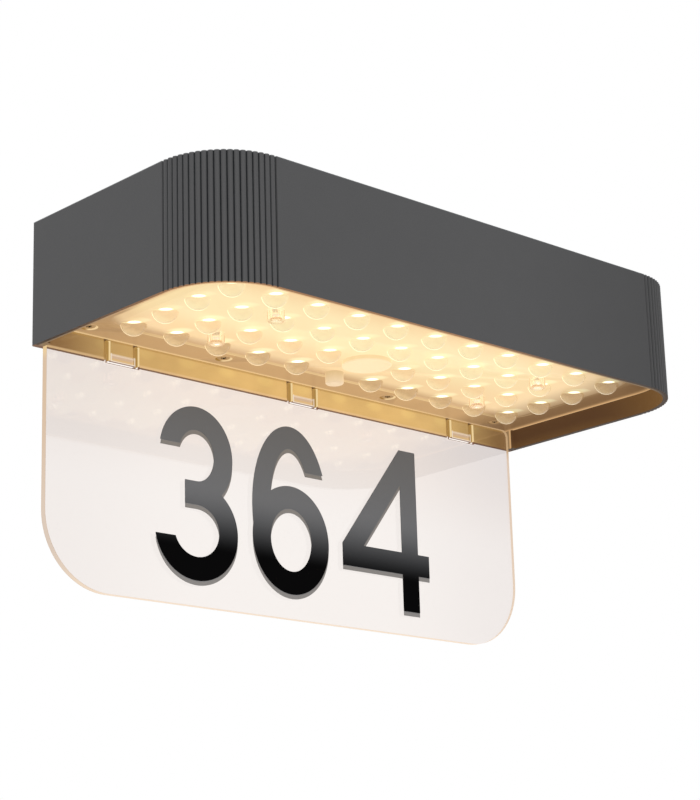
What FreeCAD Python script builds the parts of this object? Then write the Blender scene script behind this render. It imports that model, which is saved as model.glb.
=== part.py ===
import FreeCAD, Part
import math
import os

# Illuminated house number light: a D shaped lamp housing on the wall, with a clear number plate
# hanging under its back edge. All sizes in millimetres. Z is up, the wall is the plane Y = 0, the
# light stands out towards -Y, and the origin is midway between the seats of the two hanging holes.

# Housing
HOUSING_WIDTH = 250.0
HOUSING_DEPTH = 104.0
HOUSING_HEIGHT = 47.2
CORNER_RADIUS = 27.5
SIDE_WALL = 2.1
REAR_WALL = 1.6
REAR_EDGE_RADIUS = 0.9
LEDGE_WIDTH = 2.6
DECK_THICKNESS = 2.0

# Ribbed front corners
RIB_COUNT = 19
GROOVE_WIDTH = 0.62
GROOVE_DEPTH = 0.85
RIB_SAG = 0.3

# Hanging holes in the back
HANGING_SPACING = 150.0
KEYHOLE_SLOT_WIDTH = 4.6
KEYHOLE_ENTRY_DIAMETER = 8.8
KEYHOLE_DROP = 8.0
POCKET_WIDTH = 15.0
POCKET_DEPTH = 6.5
POCKET_WALL = 1.6
POCKET_MARGIN = 2.6
POCKET_ABOVE_LEDGE = 0.2

# Solar panel, bedded on tape in the top
PANEL_SIDE_MARGIN = 12.0
PANEL_END_MARGIN = 11.0
PANEL_THICKNESS = 2.5
PANEL_CORNER = 3.0
PANEL_BELOW_TOP = 0.6
PANEL_GAP = 0.4
TAPE_THICKNESS = 0.8
TAPE_WIDTH = 6.0

# Clear lens cover
COVER_RECESS = 8.2
COVER_GAP = 0.3
FLANGE_THICKNESS = 2.0
FIELD_STEP = 1.3
FIELD_THICKNESS = 2.0
FIELD_REAR = 18.6
FIELD_FRONT_MARGIN = 15.8
FIELD_SIDE_MARGIN = 18.0
FIELD_CORNER = 8.0
COVE_WIDTH = 2.6
FIELD_POCKET_INSET = 0.9
SEAL_THICKNESS = 0.8
SEAL_WIDTH = 2.2

# Lens domes, one under each light, on a grid
DOME_MARGIN = 7.0
COLUMN_PITCH = 19.6
ROW_PITCH = 18.4
FIRST_ROW = 25.2
DOME_RADIUS = 4.9
DOME_DROP = 4.1
DOME_ROOT = 0.6

# Blind posts that take the screws of the light board
POST_CLOSE_IN = 1.7
POST_DIAMETER = 6.4
POST_DROP = 4.5
POST_EDGE = 0.8
POST_FLOOR = 1.3

# Screws that hold the cover to the housing
COVER_SCREW_DIAMETER = 3.0
COVER_SCREW_HEAD = 5.6
COVER_SCREW_HEAD_HEIGHT = 1.1
COVER_SCREW_LENGTH = 9.0
COVER_SCREW_REAR = 10.0
COVER_SCREW_INNER = 43.4
COVER_SCREW_SIDE_MARGIN = 18.2
COVER_SCREW_CORNER_MARGIN = 25.0
COUNTERBORE_DIAMETER = 6.4
COUNTERBORE_DEPTH = 1.3
BOSS_DIAMETER = 7.0
BOSS_WEB = 1.6
BOSS_BITE = 0.5
SCREW_CLEARANCE = 0.1
THREAD_CLEARANCE = 0.05
HEAD_BEVEL_SHARE = 0.45
CROSS_WIDTH = 0.7
CROSS_SPAN_SHARE = 0.62
CROSS_DEPTH = 0.8

# Light board with its lights, switch and motion sensor
BOARD_STANDOFF = 5.8
BOARD_THICKNESS = 1.2
BOARD_MARGIN = 5.6
BOARD_CORNER = 3.0
LIGHT_WIDTH = 3.5
LIGHT_LENGTH = 2.8
LIGHT_HEIGHT = 0.8
BOARD_SCREW_DIAMETER = 2.9
BOARD_SCREW_HEAD = 5.2
BOARD_SCREW_HEAD_HEIGHT = 1.7
BOARD_SCREW_TIP_GAP = 1.1
SWITCH_SIDE = 6.2
SWITCH_HEIGHT = 3.4
PLUNGER_DIAMETER = 3.4
PLUNGER_REACH = 1.6
PLUNGER_ENGAGEMENT = 1.0
PLUNGER_CLEARANCE = 0.15
SENSOR_DIAMETER = 9.2
SENSOR_BASE_DIAMETER = 10.4
SENSOR_BASE_HEIGHT = 1.0
SENSOR_HEIGHT = 4.6

# Push button and sensor window in the cover
BUTTON_DIAMETER = 7.2
BUTTON_DROP = 4.6
BUTTON_EDGE = 0.7
BUTTON_TRAVEL = 1.2
BUTTON_FLANGE_DIAMETER = 10.0
BUTTON_FLANGE_GAP = 0.1
BUTTON_CLEARANCE = 0.3
COLLAR_DIAMETER = 11.6
COLLAR_HEIGHT = 0.4
WINDOW_DIAMETER = 19.2
WINDOW_DROP = 1.8
WINDOW_EDGE = 0.5
WINDOW_SPIGOT_DIAMETER = 16.4
WINDOW_SPIGOT_RISE = 0.5
WINDOW_CLEARANCE = 0.05

# Number plate, clipped to the inside of the rear wall
PLATE_SIDE_MARGIN = 3.9
PLATE_BELOW_RIM = 87.7
PLATE_THICKNESS = 2.4
PLATE_LOWER_CORNER = 28.0
PLATE_UPPER_CORNER = 3.0
PLATE_REAR_GAP = 0.1
PLATE_TOP_GAP = 0.15
TONGUE_WIDTH = 11.6
TONGUE_SLOT = 1.8
TONGUE_SPACING = 89.5
TONGUE_OFFSET = 2.6
TONGUE_ROOT = 0.9
NUB_HEIGHT = 3.2
NUB_DEPTH = 1.6
NUB_BELOW_RIM = 0.5
NOTCH_GAP = 0.3
GUIDE_DEPTH = 5.0
GUIDE_GAP = 0.2

# Plain stick-on numerals on the front of the plate
NUMERAL_HEIGHT = 67.0
NUMERAL_STROKE = 9.0
NUMERAL_THICKNESS = 0.3
NUMERAL_TOP_BELOW_RIM = 11.2
NUMERAL_LEFT = -72.3
NUMERAL_GAP = 7.6
THREE_WIDTH = 39.5
SIX_WIDTH = 39.0
FOUR_WIDTH = 48.0

# Battery in its holder under the deck
CELL_DIAMETER = 18.4
CELL_LENGTH = 65.0
CELL_CAP_DIAMETER = 5.6
CELL_CAP_HEIGHT = 1.2
CELL_GAP = 0.2
HOLDER_WALL = 1.5
HOLDER_ROOF = 1.1
HOLDER_END_ROOM = 2.0
HOLDER_SIDE_GAP = 15.7
HOLDER_SIDE_DROP_SHARE = 0.62
EAR_LENGTH = 8.0
EAR_WIDTH = 9.0
EAR_THICKNESS = 1.6
CONTACT_THICKNESS = 0.4
CONTACT_WIDTH = 9.0
CONTACT_HEIGHT = 14.0

# Charge controller board
CONTROL_WIDTH = 50.0
CONTROL_LENGTH = 34.0
CONTROL_THICKNESS = 1.6
CONTROL_CENTRE_X = 46.0
CONTROL_SCREW_INSET = 4.0
INNER_BOSS_HEIGHT = 6.0
INNER_BOSS_DIAMETER = 6.0
INNER_SCREW_DIAMETER = 2.2
INNER_SCREW_HEAD = 4.4
INNER_SCREW_HEAD_HEIGHT = 1.5
INNER_SCREW_LENGTH = 6.0
SOCKET_WIDTH = 5.0
SOCKET_LENGTH = 7.6
SOCKET_HEIGHT = 5.2
COIL_DIAMETER = 6.0
COIL_HEIGHT = 4.0
CAPACITOR_DIAMETER = 5.0
CAPACITOR_HEIGHT = 6.5
CHIP_SIDE = 5.0
CHIP_HEIGHT = 1.6

# Leads between the electrical pieces
LEAD_DIAMETER = 1.3
LEAD_PITCH = 2.2
LEAD_BEND = 3.0
LEAD_BEND_ROOM_SHARE = 0.45
LEAD_SWING = 6.0
GROMMET_DIAMETER = 6.4
GROMMET_FLANGE = 9.0
GROMMET_FLANGE_HEIGHT = 0.9
GROMMET_BORE = 4.2

# Every cut runs this far past the solid that it cuts
OVERRUN = 1.0

# Heights of the main faces, worked out from the sizes above. The keyhole pockets stand just above
# the ledge that takes the seal, so the ledge comes first.
Z_LEDGE = -KEYHOLE_DROP - KEYHOLE_ENTRY_DIAMETER / 2 - POCKET_WALL - POCKET_ABOVE_LEDGE
Z_FLANGE_TOP = Z_LEDGE - SEAL_THICKNESS
Z_FLANGE = Z_FLANGE_TOP - FLANGE_THICKNESS
Z_RIM = Z_FLANGE - COVER_RECESS
Z_TOP = Z_RIM + HOUSING_HEIGHT
Z_FIELD = Z_FLANGE - FIELD_STEP
Z_FIELD_TOP = Z_FIELD + FIELD_THICKNESS
Z_BOARD = Z_FIELD_TOP + BOARD_STANDOFF
Z_BOARD_TOP = Z_BOARD + BOARD_THICKNESS
Z_PANEL = Z_TOP - PANEL_BELOW_TOP - PANEL_THICKNESS
Z_DECK = Z_PANEL - TAPE_THICKNESS
Z_DECK_UNDER = Z_DECK - DECK_THICKNESS
Z_INNER_BOSS = Z_DECK_UNDER - INNER_BOSS_HEIGHT

# Widths and lengths that follow the housing
HALF_WIDTH = HOUSING_WIDTH / 2
MIDDLE_Y = -HOUSING_DEPTH / 2
PANEL_WIDTH = HOUSING_WIDTH - 2 * PANEL_SIDE_MARGIN
PANEL_LENGTH = HOUSING_DEPTH - 2 * PANEL_END_MARGIN
FIELD_FRONT = HOUSING_DEPTH - FIELD_FRONT_MARGIN
FIELD_HALF_WIDTH = HALF_WIDTH - FIELD_SIDE_MARGIN
PLATE_WIDTH = HOUSING_WIDTH - 2 * PLATE_SIDE_MARGIN
PLATE_BACK = -REAR_WALL - PLATE_REAR_GAP
PLATE_FRONT = PLATE_BACK - PLATE_THICKNESS
HOLDER_HALF = CELL_LENGTH / 2 + CELL_CAP_HEIGHT + HOLDER_END_ROOM + HOLDER_WALL
CELL_CENTRE_X = SIDE_WALL + HOLDER_SIDE_GAP + EAR_LENGTH + HOLDER_HALF - HALF_WIDTH

# As many domes as the field has room for, with an odd number of columns
SIDE_COLUMNS = math.floor((FIELD_HALF_WIDTH - DOME_MARGIN) / COLUMN_PITCH)
LAST_ROW = math.floor((FIELD_FRONT - DOME_MARGIN - FIRST_ROW) / ROW_PITCH)


def vec(x, y, z):
    return FreeCAD.Vector(x, y, z)


def box(x_low, x_high, y_low, y_high, z_low, z_high):
    """block between two corners"""
    return Part.makeBox(x_high - x_low, y_high - y_low, z_high - z_low, vec(x_low, y_low, z_low))


def ring_edges(solid, z, reach):
    """closed round edges within reach of a height"""
    return [edge for edge in solid.Edges if len(edge.Vertexes) == 1 and abs(edge.CenterOfMass.z - z) < reach]


def post(x, y, z_low, z_high, diameter):
    """upright cylinder"""
    return Part.makeCylinder(diameter / 2, z_high - z_low, vec(x, y, z_low))


def lay_post(x, y_low, y_high, z, diameter):
    """cylinder that points away from the wall plane"""
    return Part.makeCylinder(diameter / 2, y_high - y_low, vec(x, y_low, z), vec(0, 1, 0))


def polygon_face(points):
    """flat face through the points, in order"""
    return Part.Face(Part.makePolygon(points + points[:1]))


def rounded_block(x_low, x_high, y_low, y_high, z_low, z_high, radius):
    """block with its four upright edges rounded"""
    block = box(x_low, x_high, y_low, y_high, z_low, z_high)
    upright = [edge for edge in block.Edges if abs(edge.tangentAt(edge.FirstParameter).z) > math.sqrt(0.5)]
    return block.makeFillet(radius, upright)


def on_arc(centre, radius, degrees, z):
    angle = math.radians(degrees)
    return vec(centre[0] + radius * math.cos(angle), centre[1] + radius * math.sin(angle), z)


def smooth_corner(centre, radius, start, end, z):
    """one arc between two angles"""
    points = [on_arc(centre, radius, degrees, z) for degrees in (start, (start + end) / 2, end)]
    return [Part.Arc(*points).toShape()]


def ribbed_corner(centre, radius, start, end, z):
    """convex ribs with a V groove before, between and after them"""
    half_groove = GROOVE_WIDTH / 2
    groove_angle = math.degrees(half_groove / radius)
    pitch = (end - start) / RIB_COUNT
    step_back = on_arc((0, 0), half_groove, start - 90, 0)
    step_on = on_arc((0, 0), half_groove, end + 90, 0)
    edges = []
    last = on_arc(centre, radius, start, z) + step_back
    for rib in range(RIB_COUNT):
        low = start + rib * pitch
        floor = on_arc(centre, radius - GROOVE_DEPTH, low, z)
        rise = on_arc(centre, radius - RIB_SAG, low + groove_angle, z)
        crest = on_arc(centre, radius, low + pitch / 2, z)
        fall = on_arc(centre, radius - RIB_SAG, low + pitch - groove_angle, z)
        edges += [Part.makeLine(last, floor), Part.makeLine(floor, rise)]
        edges.append(Part.Arc(rise, crest, fall).toShape())
        last = fall
    floor = on_arc(centre, radius - GROOVE_DEPTH, end, z)
    edges += [Part.makeLine(last, floor), Part.makeLine(floor, on_arc(centre, radius, end, z) + step_on)]
    return edges


def first_point(edge):
    return edge.valueAt(edge.FirstParameter)


def last_point(edge):
    return edge.valueAt(edge.LastParameter)


def d_prism(side_inset, rear_inset, z_low, z_high, corner=smooth_corner):
    """D shaped plan, square at the wall and round at the front, raised between two heights"""
    half = HALF_WIDTH - side_inset
    front = side_inset - HOUSING_DEPTH
    radius = CORNER_RADIUS - side_inset
    left = corner((radius - half, front + radius), radius, 180, 270, z_low)
    right = corner((half - radius, front + radius), radius, 270, 360, z_low)
    rear_left = vec(-half, -rear_inset, z_low)
    rear_right = vec(half, -rear_inset, z_low)
    edges = [Part.makeLine(rear_left, first_point(left[0]))] + left
    edges += [Part.makeLine(last_point(left[-1]), first_point(right[0]))] + right
    edges += [Part.makeLine(last_point(right[-1]), rear_right), Part.makeLine(rear_right, rear_left)]
    return Part.Face(Part.Wire(edges)).extrude(vec(0, 0, z_high - z_low))


def dome_places():
    """grid places of the lens domes, less the two behind the button and the sensor window"""
    places = []
    for row in range(LAST_ROW + 1):
        for column in range(-SIDE_COLUMNS, SIDE_COLUMNS + 1):
            if column == 0 and row < 2:
                continue
            places.append((column * COLUMN_PITCH, -FIRST_ROW - row * ROW_PITCH))
    return places


def post_places():
    """between the first two rows and the last two, a little closer together than halfway, and between the
    outer columns but one on each side"""
    across = (SIDE_COLUMNS - 1) * COLUMN_PITCH - COLUMN_PITCH / 2
    off = ROW_PITCH / 2 + POST_CLOSE_IN
    rows = (-FIRST_ROW - off, -FIRST_ROW - LAST_ROW * ROW_PITCH + off)
    return [(side * across, y) for side in (-1, 1) for y in rows]


def cover_screw_places():
    """screws in the rear margin of the cover, then those in its front margin"""
    front = HOUSING_DEPTH - SIDE_WALL - LEDGE_WIDTH - BOSS_DIAMETER / 2 + BOSS_BITE
    rows = []
    for y, margin in ((-COVER_SCREW_REAR, COVER_SCREW_SIDE_MARGIN), (-front, COVER_SCREW_CORNER_MARGIN)):
        rows.append([(side * x, y) for side in (-1, 1) for x in (COVER_SCREW_INNER, HALF_WIDTH - margin)])
    return rows


BUTTON_PLACE = (0, -FIRST_ROW)
WINDOW_PLACE = (0, -FIRST_ROW - ROW_PITCH)


def pan_screw(x, y, z_seat, up, diameter, head_diameter, head_height, length):
    """pan head screw with a cross recess; up is +1 where the shank points up, -1 where down"""
    shank_end = z_seat + up * length
    head_end = z_seat - up * head_height
    shank = post(x, y, min(z_seat, shank_end), max(z_seat, shank_end), diameter)
    head = post(x, y, min(z_seat, head_end), max(z_seat, head_end), head_diameter)
    head = head.makeChamfer(head_height * HEAD_BEVEL_SHARE, ring_edges(head, head_end, head_height / 2))
    half_span = head_diameter * CROSS_SPAN_SHARE / 2
    low = min(head_end - up * OVERRUN, head_end + up * CROSS_DEPTH)
    high = max(head_end - up * OVERRUN, head_end + up * CROSS_DEPTH)
    slot = box(x - half_span, x + half_span, y - CROSS_WIDTH / 2, y + CROSS_WIDTH / 2, low, high)
    other = box(x - CROSS_WIDTH / 2, x + CROSS_WIDTH / 2, y - half_span, y + half_span, low, high)
    return shank.fuse(head).cut(slot.fuse(other)).removeSplitter()


def keyhole_cut(x):
    """entry hole with a slot that rises to the hanging seat"""
    entry = lay_post(x, -REAR_WALL - OVERRUN, OVERRUN, -KEYHOLE_DROP, KEYHOLE_ENTRY_DIAMETER)
    seat = lay_post(x, -REAR_WALL - OVERRUN, OVERRUN, 0, KEYHOLE_SLOT_WIDTH)
    half_slot = KEYHOLE_SLOT_WIDTH / 2
    slot = box(x - half_slot, x + half_slot, -REAR_WALL - OVERRUN, OVERRUN, -KEYHOLE_DROP, 0)
    return entry.fuse([seat, slot])


def pocket_block(x, wall, y_rear):
    """room behind a keyhole for the screw head, with its own walls round it"""
    low = -KEYHOLE_DROP - KEYHOLE_ENTRY_DIAMETER / 2
    high = KEYHOLE_ENTRY_DIAMETER / 2 + POCKET_MARGIN
    half = POCKET_WIDTH / 2 + wall
    return box(x - half, x + half, -REAR_WALL - POCKET_DEPTH - wall, y_rear, low - wall, high + wall)


def holder_ends():
    """outer faces of the battery holder's two end walls"""
    return CELL_CENTRE_X - HOLDER_HALF, CELL_CENTRE_X + HOLDER_HALF


def holder_screw_places():
    low, high = holder_ends()
    return [(low - EAR_LENGTH / 2, MIDDLE_Y), (high + EAR_LENGTH / 2, MIDDLE_Y)]


def control_screw_places():
    across = CONTROL_WIDTH / 2 - CONTROL_SCREW_INSET
    along = CONTROL_LENGTH / 2 - CONTROL_SCREW_INSET
    return [(CONTROL_CENTRE_X + side * across, MIDDLE_Y + side * along) for side in (-1, 1)]


def tongue_places():
    return [TONGUE_OFFSET + step * TONGUE_SPACING for step in (-1, 0, 1)]


def panel_edges():
    """rear and front edge of the solar panel, centred between the housing's front and back"""
    return MIDDLE_Y - PANEL_LENGTH / 2, MIDDLE_Y + PANEL_LENGTH / 2


def lead_hole_place():
    return CONTROL_CENTRE_X, MIDDLE_Y


def make_housing():
    shell = d_prism(0, 0, Z_RIM, Z_TOP, ribbed_corner)
    at_wall = [edge for edge in shell.Edges if abs(edge.CenterOfMass.y) < OVERRUN]
    upright = [edge for edge in at_wall if edge.Length < HOUSING_HEIGHT + OVERRUN]
    shell = shell.makeFillet(REAR_EDGE_RADIUS, upright)
    inner_inset = SIDE_WALL + LEDGE_WIDTH
    shell = shell.cut(d_prism(SIDE_WALL, REAR_WALL, Z_RIM - OVERRUN, Z_LEDGE))
    shell = shell.cut(d_prism(inner_inset, REAR_WALL + LEDGE_WIDTH, Z_LEDGE, Z_DECK_UNDER))
    front, rear = panel_edges()
    half = PANEL_WIDTH / 2 + PANEL_GAP
    shell = shell.cut(rounded_block(-half, half, front - PANEL_GAP, rear + PANEL_GAP, Z_DECK, Z_TOP + OVERRUN,
                                    PANEL_CORNER + PANEL_GAP))
    rear_row, front_row = cover_screw_places()
    inner_rear = -REAR_WALL - LEDGE_WIDTH
    cover_hole = COVER_SCREW_DIAMETER + 2 * THREAD_CLEARANCE
    inner_hole = INNER_SCREW_DIAMETER + 2 * THREAD_CLEARANCE
    inner_depth = INNER_SCREW_LENGTH - EAR_THICKNESS + OVERRUN / 2
    added = []
    for x, y in rear_row + front_row:
        added.append(post(x, y, Z_FLANGE_TOP, Z_DECK_UNDER, BOSS_DIAMETER))
    for x, y in rear_row:
        added.append(box(x - BOSS_WEB / 2, x + BOSS_WEB / 2, y, inner_rear, Z_LEDGE, Z_DECK_UNDER))
    for x, y in holder_screw_places() + control_screw_places():
        added.append(post(x, y, Z_INNER_BOSS, Z_DECK_UNDER, INNER_BOSS_DIAMETER))
    for side in (-1, 1):
        added.append(pocket_block(side * HANGING_SPACING / 2, POCKET_WALL, inner_rear))
        guide = side * (PLATE_WIDTH / 2 + GUIDE_GAP)
        wall = side * (HALF_WIDTH - SIDE_WALL / 2)
        added.append(box(min(guide, wall), max(guide, wall), -REAR_WALL - GUIDE_DEPTH, -REAR_WALL / 2, Z_RIM,
                         Z_FLANGE - PLATE_TOP_GAP))
    shell = shell.fuse(added)
    cuts = []
    for x, y in rear_row + front_row:
        depth = COVER_SCREW_LENGTH + OVERRUN
        cuts.append(post(x, y, Z_FLANGE_TOP - OVERRUN, Z_FLANGE_TOP + depth, cover_hole))
    for x, y in holder_screw_places() + control_screw_places():
        cuts.append(post(x, y, Z_INNER_BOSS - OVERRUN, Z_INNER_BOSS + inner_depth, inner_hole))
    for side in (-1, 1):
        x = side * HANGING_SPACING / 2
        cuts.append(keyhole_cut(x))
        cuts.append(pocket_block(x, 0, -REAR_WALL))
    for x in tongue_places():
        half_notch = TONGUE_WIDTH / 2 + NOTCH_GAP
        notch_top = Z_RIM + NUB_HEIGHT - NUB_BELOW_RIM + NOTCH_GAP
        cuts.append(box(x - half_notch, x + half_notch, -REAR_WALL - OVERRUN, OVERRUN,
                        Z_RIM - OVERRUN, notch_top))
    x, y = lead_hole_place()
    cuts.append(post(x, y, Z_DECK_UNDER - OVERRUN, Z_DECK + OVERRUN, GROMMET_DIAMETER + 2 * THREAD_CLEARANCE))
    return shell.cut(cuts).removeSplitter()


def make_panel():
    front, rear = panel_edges()
    half = PANEL_WIDTH / 2
    return rounded_block(-half, half, front, rear, Z_PANEL, Z_PANEL + PANEL_THICKNESS, PANEL_CORNER)


def make_panel_tape():
    """foam tape frame between the panel and the deck"""
    front, rear = panel_edges()
    half = PANEL_WIDTH / 2
    outer = rounded_block(-half, half, front, rear, Z_DECK, Z_PANEL, PANEL_CORNER)
    inner = box(TAPE_WIDTH - half, half - TAPE_WIDTH, front + TAPE_WIDTH, rear - TAPE_WIDTH,
                Z_DECK - OVERRUN, Z_PANEL + OVERRUN)
    return outer.cut(inner)


def field_outline(shrink, z):
    """rounded rectangle of the lens field at one height"""
    outline = rounded_block(shrink - FIELD_HALF_WIDTH, FIELD_HALF_WIDTH - shrink, shrink - FIELD_FRONT,
                            -FIELD_REAR - shrink, z, z + OVERRUN, FIELD_CORNER - shrink)
    lowest = min(outline.Faces, key=lambda face: face.CenterOfMass.z)
    return lowest.OuterWire


def make_dome(place):
    """plano-convex lens: a cap of a sphere with a short root in the cover"""
    sphere = (DOME_RADIUS ** 2 + DOME_DROP ** 2) / (2 * DOME_DROP)
    centre_z = Z_FIELD + sphere - DOME_DROP
    rim_angle = math.acos((sphere - DOME_DROP) / sphere)
    half = rim_angle / 2
    rim = vec(DOME_RADIUS, 0, Z_FIELD)
    middle = vec(sphere * math.sin(half), 0, centre_z - sphere * math.cos(half))
    tip = vec(0, 0, Z_FIELD - DOME_DROP)
    root_low = vec(DOME_RADIUS, 0, Z_FIELD + DOME_ROOT)
    root_axis = vec(0, 0, Z_FIELD + DOME_ROOT)
    edges = [Part.Arc(tip, middle, rim).toShape(), Part.makeLine(rim, root_low),
             Part.makeLine(root_low, root_axis), Part.makeLine(root_axis, tip)]
    cap = Part.Face(Part.Wire(edges)).revolve(vec(0, 0, 0), vec(0, 0, 1), 360)
    return cap.translated(vec(place[0], place[1], 0))


def make_cover():
    gap = SIDE_WALL + COVER_GAP
    plate = d_prism(gap, REAR_WALL + COVER_GAP, Z_FLANGE, Z_FLANGE_TOP)
    cove = Part.makeLoft([field_outline(COVE_WIDTH, Z_FIELD), field_outline(0, Z_FLANGE)], True, True)
    inner = FIELD_POCKET_INSET
    pocket = rounded_block(inner - FIELD_HALF_WIDTH, FIELD_HALF_WIDTH - inner, inner - FIELD_FRONT,
                           -FIELD_REAR - inner, Z_FIELD_TOP, Z_FLANGE_TOP + OVERRUN, FIELD_CORNER - inner)
    cover = plate.fuse(cove).cut(pocket)
    post_hole = BOARD_SCREW_DIAMETER + 2 * THREAD_CLEARANCE
    cover_hole = COVER_SCREW_DIAMETER + 2 * SCREW_CLEARANCE
    added = [make_dome(place) for place in dome_places()]
    for x, y in post_places():
        low = Z_FIELD - POST_DROP
        stud = post(x, y, low, Z_BOARD, POST_DIAMETER)
        added.append(stud.makeFillet(POST_EDGE, ring_edges(stud, low, POST_EDGE)))
    x, y = BUTTON_PLACE
    added.append(post(x, y, Z_FIELD - COLLAR_HEIGHT, Z_FIELD + DOME_ROOT, COLLAR_DIAMETER))
    cover = cover.fuse(added)
    cuts = []
    for x, y in post_places():
        cuts.append(post(x, y, Z_FIELD - POST_DROP + POST_FLOOR, Z_BOARD + OVERRUN, post_hole))
    rear_row, front_row = cover_screw_places()
    for x, y in rear_row + front_row:
        cuts.append(post(x, y, Z_FLANGE - OVERRUN, Z_FLANGE_TOP + OVERRUN, cover_hole))
        cuts.append(post(x, y, Z_FLANGE - OVERRUN, Z_FLANGE + COUNTERBORE_DEPTH, COUNTERBORE_DIAMETER))
    button_hole = BUTTON_DIAMETER + 2 * BUTTON_CLEARANCE
    window_hole = WINDOW_SPIGOT_DIAMETER + 2 * WINDOW_CLEARANCE
    cuts.append(post(*BUTTON_PLACE, Z_FIELD - BUTTON_DROP, Z_FLANGE_TOP, button_hole))
    cuts.append(post(*WINDOW_PLACE, Z_FIELD - OVERRUN, Z_FLANGE_TOP, window_hole))
    return cover.cut(cuts).removeSplitter()


def make_cover_seal():
    """silicone ring between the cover's margin and the ledge in the housing"""
    side = SIDE_WALL + COVER_GAP
    rear = REAR_WALL + COVER_GAP
    outer = d_prism(side, rear, Z_FLANGE_TOP, Z_LEDGE)
    inner = d_prism(side + SEAL_WIDTH, rear + SEAL_WIDTH, Z_FLANGE_TOP - OVERRUN, Z_LEDGE + OVERRUN)
    front_row = cover_screw_places()[1]
    boss_room = BOSS_DIAMETER + 2 * SCREW_CLEARANCE
    return outer.cut([inner] + [post(x, y, Z_FLANGE_TOP - OVERRUN, Z_LEDGE + OVERRUN, boss_room)
                                for x, y in front_row])


def make_cover_screws():
    rear_row, front_row = cover_screw_places()
    seat = Z_FLANGE + COUNTERBORE_DEPTH
    return Part.makeCompound([pan_screw(x, y, seat, 1, COVER_SCREW_DIAMETER, COVER_SCREW_HEAD,
                                        COVER_SCREW_HEAD_HEIGHT, COVER_SCREW_LENGTH)
                              for x, y in rear_row + front_row])


def make_light_board():
    columns = SIDE_COLUMNS * COLUMN_PITCH + BOARD_MARGIN
    last_row = FIRST_ROW + LAST_ROW * ROW_PITCH
    board = rounded_block(-columns, columns, -last_row - BOARD_MARGIN, -FIRST_ROW + BOARD_MARGIN,
                          Z_BOARD, Z_BOARD_TOP, BOARD_CORNER)
    hole = BOARD_SCREW_DIAMETER + 2 * SCREW_CLEARANCE
    return board.cut([post(x, y, Z_BOARD - OVERRUN, Z_BOARD_TOP + OVERRUN, hole) for x, y in post_places()])


def make_lights():
    half_x = LIGHT_WIDTH / 2
    half_y = LIGHT_LENGTH / 2
    low = Z_BOARD - LIGHT_HEIGHT
    return Part.makeCompound([box(x - half_x, x + half_x, y - half_y, y + half_y, low, Z_BOARD)
                              for x, y in dome_places()])


def make_board_screws():
    shank = Z_BOARD_TOP - (Z_FIELD - POST_DROP + POST_FLOOR) - BOARD_SCREW_TIP_GAP
    return Part.makeCompound([pan_screw(x, y, Z_BOARD_TOP, -1, BOARD_SCREW_DIAMETER, BOARD_SCREW_HEAD,
                                        BOARD_SCREW_HEAD_HEIGHT, shank) for x, y in post_places()])


def switch_face():
    """underside of the push switch"""
    return Z_BOARD - SWITCH_HEIGHT


def make_switch():
    x, y = BUTTON_PLACE
    half = SWITCH_SIDE / 2
    body = box(x - half, x + half, y - half, y + half, switch_face(), Z_BOARD)
    depth = PLUNGER_ENGAGEMENT + BUTTON_TRAVEL + PLUNGER_CLEARANCE
    hole = PLUNGER_DIAMETER + 2 * PLUNGER_CLEARANCE
    return body.cut(post(x, y, switch_face() - OVERRUN, switch_face() + depth, hole))


def make_plunger():
    x, y = BUTTON_PLACE
    return post(x, y, switch_face() - PLUNGER_REACH, switch_face() + PLUNGER_ENGAGEMENT, PLUNGER_DIAMETER)


def make_button():
    """translucent cap with a flange that keeps it behind the cover"""
    x, y = BUTTON_PLACE
    low = Z_FIELD - BUTTON_DROP
    top = switch_face() - PLUNGER_REACH
    cap = post(x, y, low, top, BUTTON_DIAMETER)
    cap = cap.makeFillet(BUTTON_EDGE, ring_edges(cap, low, BUTTON_EDGE))
    flange = post(x, y, Z_FIELD_TOP + BUTTON_FLANGE_GAP, top, BUTTON_FLANGE_DIAMETER)
    return cap.fuse(flange).removeSplitter()


def make_sensor():
    """motion sensor in a round can on the light board"""
    x, y = WINDOW_PLACE
    base = post(x, y, Z_BOARD - SENSOR_BASE_HEIGHT, Z_BOARD, SENSOR_BASE_DIAMETER)
    can = post(x, y, Z_BOARD - SENSOR_HEIGHT, Z_BOARD - SENSOR_BASE_HEIGHT, SENSOR_DIAMETER)
    return base.fuse(can)


def make_window():
    """milky disc over the sensor, with a spigot through the cover"""
    x, y = WINDOW_PLACE
    low = Z_FIELD - WINDOW_DROP
    disc = post(x, y, low, Z_FIELD, WINDOW_DIAMETER)
    disc = disc.makeFillet(WINDOW_EDGE, ring_edges(disc, low, WINDOW_EDGE))
    spigot = post(x, y, Z_FIELD, Z_FIELD_TOP + WINDOW_SPIGOT_RISE, WINDOW_SPIGOT_DIAMETER)
    return disc.fuse(spigot).removeSplitter()


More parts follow.
